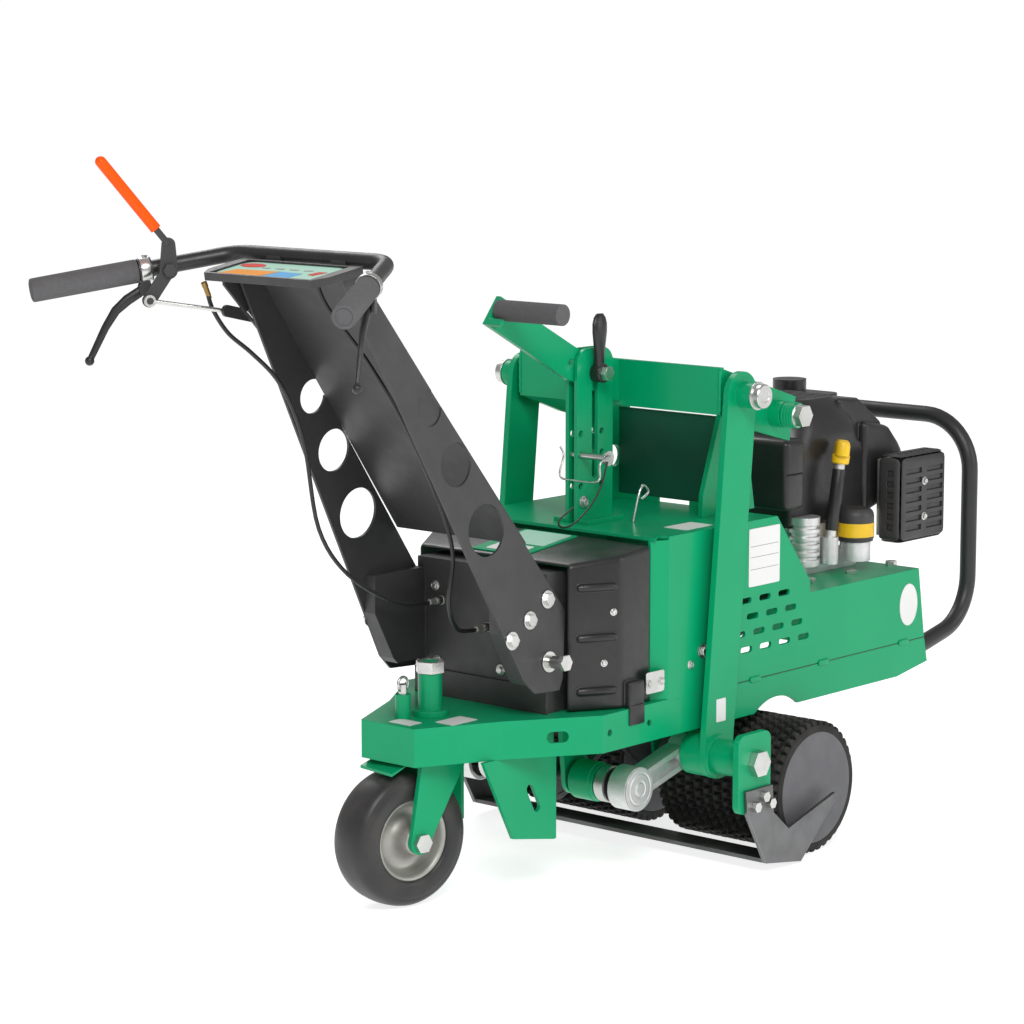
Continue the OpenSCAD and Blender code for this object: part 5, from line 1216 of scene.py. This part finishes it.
rows = [(SLEEVE_BORE, 0.0), (SLEEVE_R, 0.6)]
for k in range(4):
    foot = 3.4 + SLEEVE_PITCH * k
    rows += [(SLEEVE_R, foot), (SLEEVE_ROOT, foot + 0.6), (SLEEVE_ROOT, foot + 1.6), (SLEEVE_R, foot + 2.2)]
rows += [(SLEEVE_R, 20.4), (SLEEVE_BORE, 21.0)]
for side_name, side in SIDES:
    out = Vector((0.0, side, 0.0))
    head = turned("hang_pin_head_" + side_name, on_axis(HANG_PIN, 235.9 * side), out, profile_mm([
        (20.0, 0.0), (20.4, 0.5), (20.4, 2.2), (19.8, 2.7), (17.5, 2.8), (17.6, 3.4), (17.6, 12.4),
        (16.2, 14.4), (9.0, 14.4), (8.4, 13.4), (0.5, 13.4)]), sides=40)
    done(head, ZINC, "lift_frame")
    sleeve_at = on_axis(YOKE_SHAFT, 212.7 * side)
    sleeve = turned_ring("pivot_sleeve_" + side_name, sleeve_at, out, profile_mm(rows), sides=40)
    done(sleeve, GREEN_PAINT, "chassis", sharp=25.0)
print("pivot heads and sleeves: 2 of each")

# %% Rod caps and eccentric housings
ECCENTRIC = (-58.0, 134.0)
for side_name, side in SIDES:
    out = Vector((0.0, side, 0.0))
    rod_cap = turned("rod_cap_" + side_name, on_axis(ECCENTRIC, 165.2 * side), out, profile_mm([
        (30.0, 0.0), (30.5, 0.4), (30.5, 1.4), (25.0, 1.4), (24.4, 0.8), (22.0, 0.8), (21.4, 1.8),
        (13.0, 1.8), (12.4, 1.0), (9.0, 1.0), (8.4, 3.2), (0.5, 3.2)]), sides=48)
    done(rod_cap, CAST_ALUMINIUM, "rods")
    housing_at = on_axis(ECCENTRIC, 56.0 * side)
    housing = turned_ring("eccentric_housing_" + side_name, housing_at, out, profile_mm([
        (25.5, 0.0), (29.0, 0.5), (29.0, 36.0), (27.5, 37.0), (27.5, 44.0), (25.5, 44.5)]), sides=48)
    done(housing, GREEN_PAINT, "chassis")
    lock_ring_at = on_axis(ECCENTRIC, 102.0 * side)
    lock_ring = turned_ring("eccentric_ring_" + side_name, lock_ring_at, out, profile_mm([
        (25.1, 0.0), (26.8, 0.5), (26.8, 16.5), (25.1, 17.0)]), sides=48)
    done(lock_ring, ZINC, "eccentric")
print("rod caps, housings and lock rings: 2 of each")

# %% [markdown]
# ## Wires at the detent
# A spring clip holds the detent pin, a thin lanyard keeps it from being lost, and a hairpin stands on
# the body. All three are bent wire, so a few points along each are joined by a smooth line with a round
# section. The bender's arcs would look too stiff for spring wire.

# %% Wires
WIRE_Y = -66.0
WIRES = [
    ("detent_clip", 1.6, ZINC, "zinc", "detent",
     [(-117, 625), (-109, 611), (-117, 583), (-86, 573), (-33, 566), (-28, 591), (-6, 600)]),
    ("detent_lanyard", 1.4, CABLE_JACKET, "cable", "detent",
     [(-12, 592), (-25, 560), (-46, 535), (-83, 512), (-111, 508), (-119, 519), (-88, 534)]),
    ("body_hairpin", 1.8, ZINC, "zinc", "chassis", [(47, 497), (60, 537), (71, 549), (82, 538), (66, 529)]),
]
for wire_name, wire_radius, finish, slot_name, body, spots in WIRES:
    path = smooth_route([Vector((x, WIRE_Y, z)) * MM for x, z in spots])
    wire = tube(wire_name, path, wire_radius * MM, finish, body, rings=3)
print("wires:", len(WIRES))

# %% [markdown]
# ## Seams and welds
# The lower panel is two sheets that meet along a line above the rail, tacked with three short welds. A
# shallow dark strip stands for the line, and a low rounded bead for each weld. A groove could be cut,
# but the solids keep their meshes.

# %% Seams and welds
SEAM_SHADE = make_finish(
    "seam_shade", (0.0, 0.075, 0.032), (0.0, 0.12, 0.05), 0.5, grain=200.0, bump=0.02, dust=0.3)
SEAM_T = 0.15
BEAD_H = 2.2
BEAD_HALF = 13
for side_name, side in SIDES:
    face = -PANEL_Y * side
    seam = round_outline((143, 259.6), (624, 261.2), 0.6)
    side_label("panel_seam_" + side_name, seam, face, SEAM_SHADE, thick=SEAM_T)
    for k, x in enumerate((184, 354, 565)):
        outline = round_outline((x - BEAD_HALF, 256), (x + BEAD_HALF, 264.5), 4)
        ring = [Vector((px, face, pz)) * MM for px, pz in outline]
        bead = prism("weld_bead_%s_%d" % (side_name, k + 1), ring, Vector((0.0, BEAD_H * side, 0.0)) * MM)
        done(rounded(bead, 1.4 * MM, 3), GREEN_PAINT, "chassis", sharp=60.0)
print("seams: 2, weld beads: 6")

# %% [markdown]
# ## Fittings on the handle
# Bright bands clamp the lever perches to the bar, a brass end holds the left cable, stops hold both
# cables at the rear box, and a short strut hangs under the tray. All of them are turned pieces. A stop
# stands where its cable ends, so its place is read from the cable's route.

# %% Handle fittings
BAND_WIDTH = 14.0 * MM
STOP_X = -210.6
CABLE_END_AT = (-606.0, 140.6, 876.0)
CABLE_END_RUN = (7.0, -0.6, -16.0)
STRUT_LOW = (-498.0, 110.0, 785.0)
STRUT_HIGH = (-557.0, 110.0, 837.0)
for side_name, side in SIDES:
    end, along = bar_end(side)
    band_at = end - along * (GRIP_LENGTH + PERCH_BACK + BAND_WIDTH / 2)
    band = turned_ring("perch_band_" + side_name, band_at, along, profile_mm([
        (16.2, 0.0), (17.0, 0.3), (17.3, 1.0), (17.3, 13.0), (17.0, 13.7), (16.2, 14.0)]), sides=40)
    done(band, ZINC, "chassis", sharp=25.0)
for side_name, side in SIDES:
    cable_foot = cable_routes[side_name + "_cable"][-1]
    stop_at = (STOP_X * MM, cable_foot.y, cable_foot.z)
    stop = turned("cable_stop_" + side_name, stop_at, REAR, profile_mm([
        (7.0, 0.0), (7.0, 3.0), (5.2, 3.4), (5.2, 14.0), (4.4, 15.0), (4.4, 27.0), (3.4, 28.5),
        (3.1, 28.5)]), sides=24)
    done(stop, SATIN_ZINC, "chassis")
cable_end = turned("brass_cable_end", Vector(CABLE_END_AT) * MM, CABLE_END_RUN, profile_mm([
    (2.0, 0.0), (4.2, 0.5), (4.2, 7.0), (3.6, 7.5), (3.6, 20.0), (3.2, 20.5), (3.2, 24.0),
    (3.0, 24.5)]), sides=20)
done(cable_end, BRONZE, "chassis")
strut_run = Vector(STRUT_HIGH) - Vector(STRUT_LOW)
strut_length = strut_run.length
strut = turned("tray_strut", Vector(STRUT_LOW) * MM, strut_run, profile_mm([
    (4.0, 0.0), (6.0, 1.0), (6.0, strut_length * 0.55), (5.0, strut_length * 0.57),
    (3.2, strut_length * 0.58), (3.2, strut_length - 0.5), (2.6, strut_length)]), sides=24)
done(strut, ZINC, "chassis")
print("handle fittings: 6")

# %% [markdown]
# ## Sheets on flat faces
# A dark green sheet closes the space between the uprights: it is painted shade, standing in for the
# shadow that falls on the green bulkhead there. Blank plates lie on the housing, the body and the
# platform. They could be masks in the paint, but a thin sheet has a real edge that catches the light,
# and it is easy to move.

# %% Sheets on flat faces
# Painted shade: the dark green sheet on the bulkhead stands in for the shadow between the uprights.
PAINTED_SHADE_PLATE = make_finish(
    "painted_shade_plate", (0.004, 0.095, 0.055), (0.02, 0.14, 0.08), 0.5, grain=240.0, bump=0.06,
    dust=0.1, specular=0.2)
BULKHEAD_X = 223.8
BODY_TOP = 497.0
HOOD_PLATE_T = 2.1
plate_outline = round_outline((-105.5, 506), (105.5, 636.5), 2)
plate_ring = [Vector((BULKHEAD_X, y, z)) * MM for y, z in plate_outline]
plate = prism("bulkhead_painted_shade", plate_ring, Vector((-LABEL_T, 0.0, 0.0)) * MM)
done(plate, PAINTED_SHADE_PLATE, "chassis")


def hood_sheet(name, low, high, finish):
    ring = sloped_ring(round_outline(low, high, 3), HOOD_PLATE_T)
    return done(prism(name, ring, Vector((0.0, 0.0, SHEET_T)) * MM), finish, "chassis")


hood_sheet("hood_label_rear", (-168, -36), (-136, 30), WHITE_LABEL)
hood_sheet("hood_label_front", (-128, -44), (-64, 42), PANEL_MINT)
top_label("body_top_label", round_outline((40, -170), (104, -128), 3), BODY_TOP)
top_label("platform_label_rear", round_outline((-392, -30), (-366, 10), 2), PLATFORM_TOP)
print("sheets on flat faces: 5")

# %% [markdown]
# ## Weld beads on the yoke
# The cross beam is welded to the yoke's side plates, and the bead at each corner catches the light. A
# bead is a short wavy line with a round section, sunk halfway into the corner. Every ripple could be
# modelled, but at this size a wave is enough.

# %% Weld beads on the yoke
BEAD_AT = (90.0, 189.2, 664.0)
BEAD_RADIUS = 2.6 * MM
BEAD_STEP = 6.0
BEAD_WAVE = 0.8
for side_name, side in SIDES:
    path = smooth_route([
        Vector((BEAD_AT[0] + BEAD_WAVE * (k % 2), BEAD_AT[1] * side, BEAD_AT[2] + BEAD_STEP * k)) * MM
        for k in range(11)], steps=3)
    bead = tube("yoke_weld_" + side_name, path, BEAD_RADIUS, GREEN_PAINT, "lift_frame", rings=4)
print("yoke beads: 2")

# %% [markdown]
# ## Knobby tread
# The drum grips the turf with rows of small rubber knobs. Every knob could be placed by hand, but one
# tapered block is enough: copies of it make a band round the drum, and copies of the band, every second
# one turned by half a knob, cover both halves. A sleeve with a lip at its outer edge carries them.

# %% Knobby tread
DRUM_AT = Vector((237.5, 0.0, 99.0)) * MM
KNOBS_ROUND = 40
BANDS_A_SIDE = 13
TREAD_IN = 37.0
TREAD_WIDE = 225.0
KNOB_LEVELS = ((5.4, 6.0, 89.0), (4.6, 5.2, 95.5), (3.0, 3.4, 98.7))
knob = loft("tread_knob", [
    [Vector((x * half_x, y * half_y, z)) * MM for x, y in ((-1, -1), (1, -1), (1, 1), (-1, 1))]
    for half_x, half_y, z in KNOB_LEVELS])
knob_turn = 2 * math.pi / KNOBS_ROUND
band = joined("tread_band", [
    copied(knob, "band_knob", Matrix.Rotation(knob_turn * k, 4, "Y")) for k in range(KNOBS_ROUND)])
bands = []
for side_name, side in SIDES:
    for k in range(BANDS_A_SIDE):
        out = Vector((0.0, side * (TREAD_IN + TREAD_WIDE * (k + 0.5) / BANDS_A_SIDE), 0.0)) * MM
        half_turn = Matrix.Rotation(knob_turn * (k % 2) / 2, 4, "Y")
        bands.append(copied(band, "tread_row", Matrix.Translation(DRUM_AT + out) @ half_turn))
    sleeve_at = DRUM_AT + Vector((0.0, side * TREAD_IN, 0.0)) * MM
    bands.append(turned_ring("tread_sleeve", sleeve_at, (0.0, side, 0.0), profile_mm([
        (83.4, 0.0), (90.0, 0.5), (90.0, 220.0), (92.5, 221.0), (92.5, 224.4), (83.4, TREAD_WIDE)]),
        sides=96))
tread = joined("knobby_tread", bands)
bpy.data.objects.remove(knob)
bpy.data.objects.remove(band)
done(tread, TREAD, "drum")
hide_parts("drum_treads")
print("tread:", len(tread.data.polygons), "faces")

# %% [markdown]
# ## Washers on the column
# Each column plate is held by three bolts and a longer one below them, and bright washers spread their
# load. The plates lean in towards the tray, so the washers are turned about a line that leans with
# them.

# %% Washers on the column
COLUMN_FOOT_HALF = 130.0
COLUMN_TOP_HALF = 100.0
COLUMN_FOOT_Z = 427.0
COLUMN_TOP_Z = 865.0
COLUMN_LEAN = math.atan2(COLUMN_FOOT_HALF - COLUMN_TOP_HALF, COLUMN_TOP_Z - COLUMN_FOOT_Z)
WASHERS = ((-218.5, 427, 13), (-257.5, 403, 13), (-296.5, 380, 13), (-221.5, 340, 15))
for side_name, side in SIDES:
    out = Vector((0.0, side * math.cos(COLUMN_LEAN), math.sin(COLUMN_LEAN)))
    for k, (x, z, size) in enumerate(WASHERS):
        up = z - COLUMN_FOOT_Z
        foot_y = COLUMN_FOOT_HALF - up * math.sin(COLUMN_LEAN)
        foot_z = COLUMN_FOOT_Z + up * math.cos(COLUMN_LEAN)
        foot = Vector((x, side * foot_y, foot_z)) * MM
        washer = turned_ring("column_washer_%s_%d" % (side_name, k + 1), foot, out, profile_mm([
            (7.0, 0.05), (size - 0.5, 0.05), (size, 0.5), (size, 1.6), (size - 0.6, 2.1),
            (7.0, 2.1)]), sides=36)
        done(washer, ZINC, "chassis")
print("washers:", len(WASHERS) * len(SIDES))
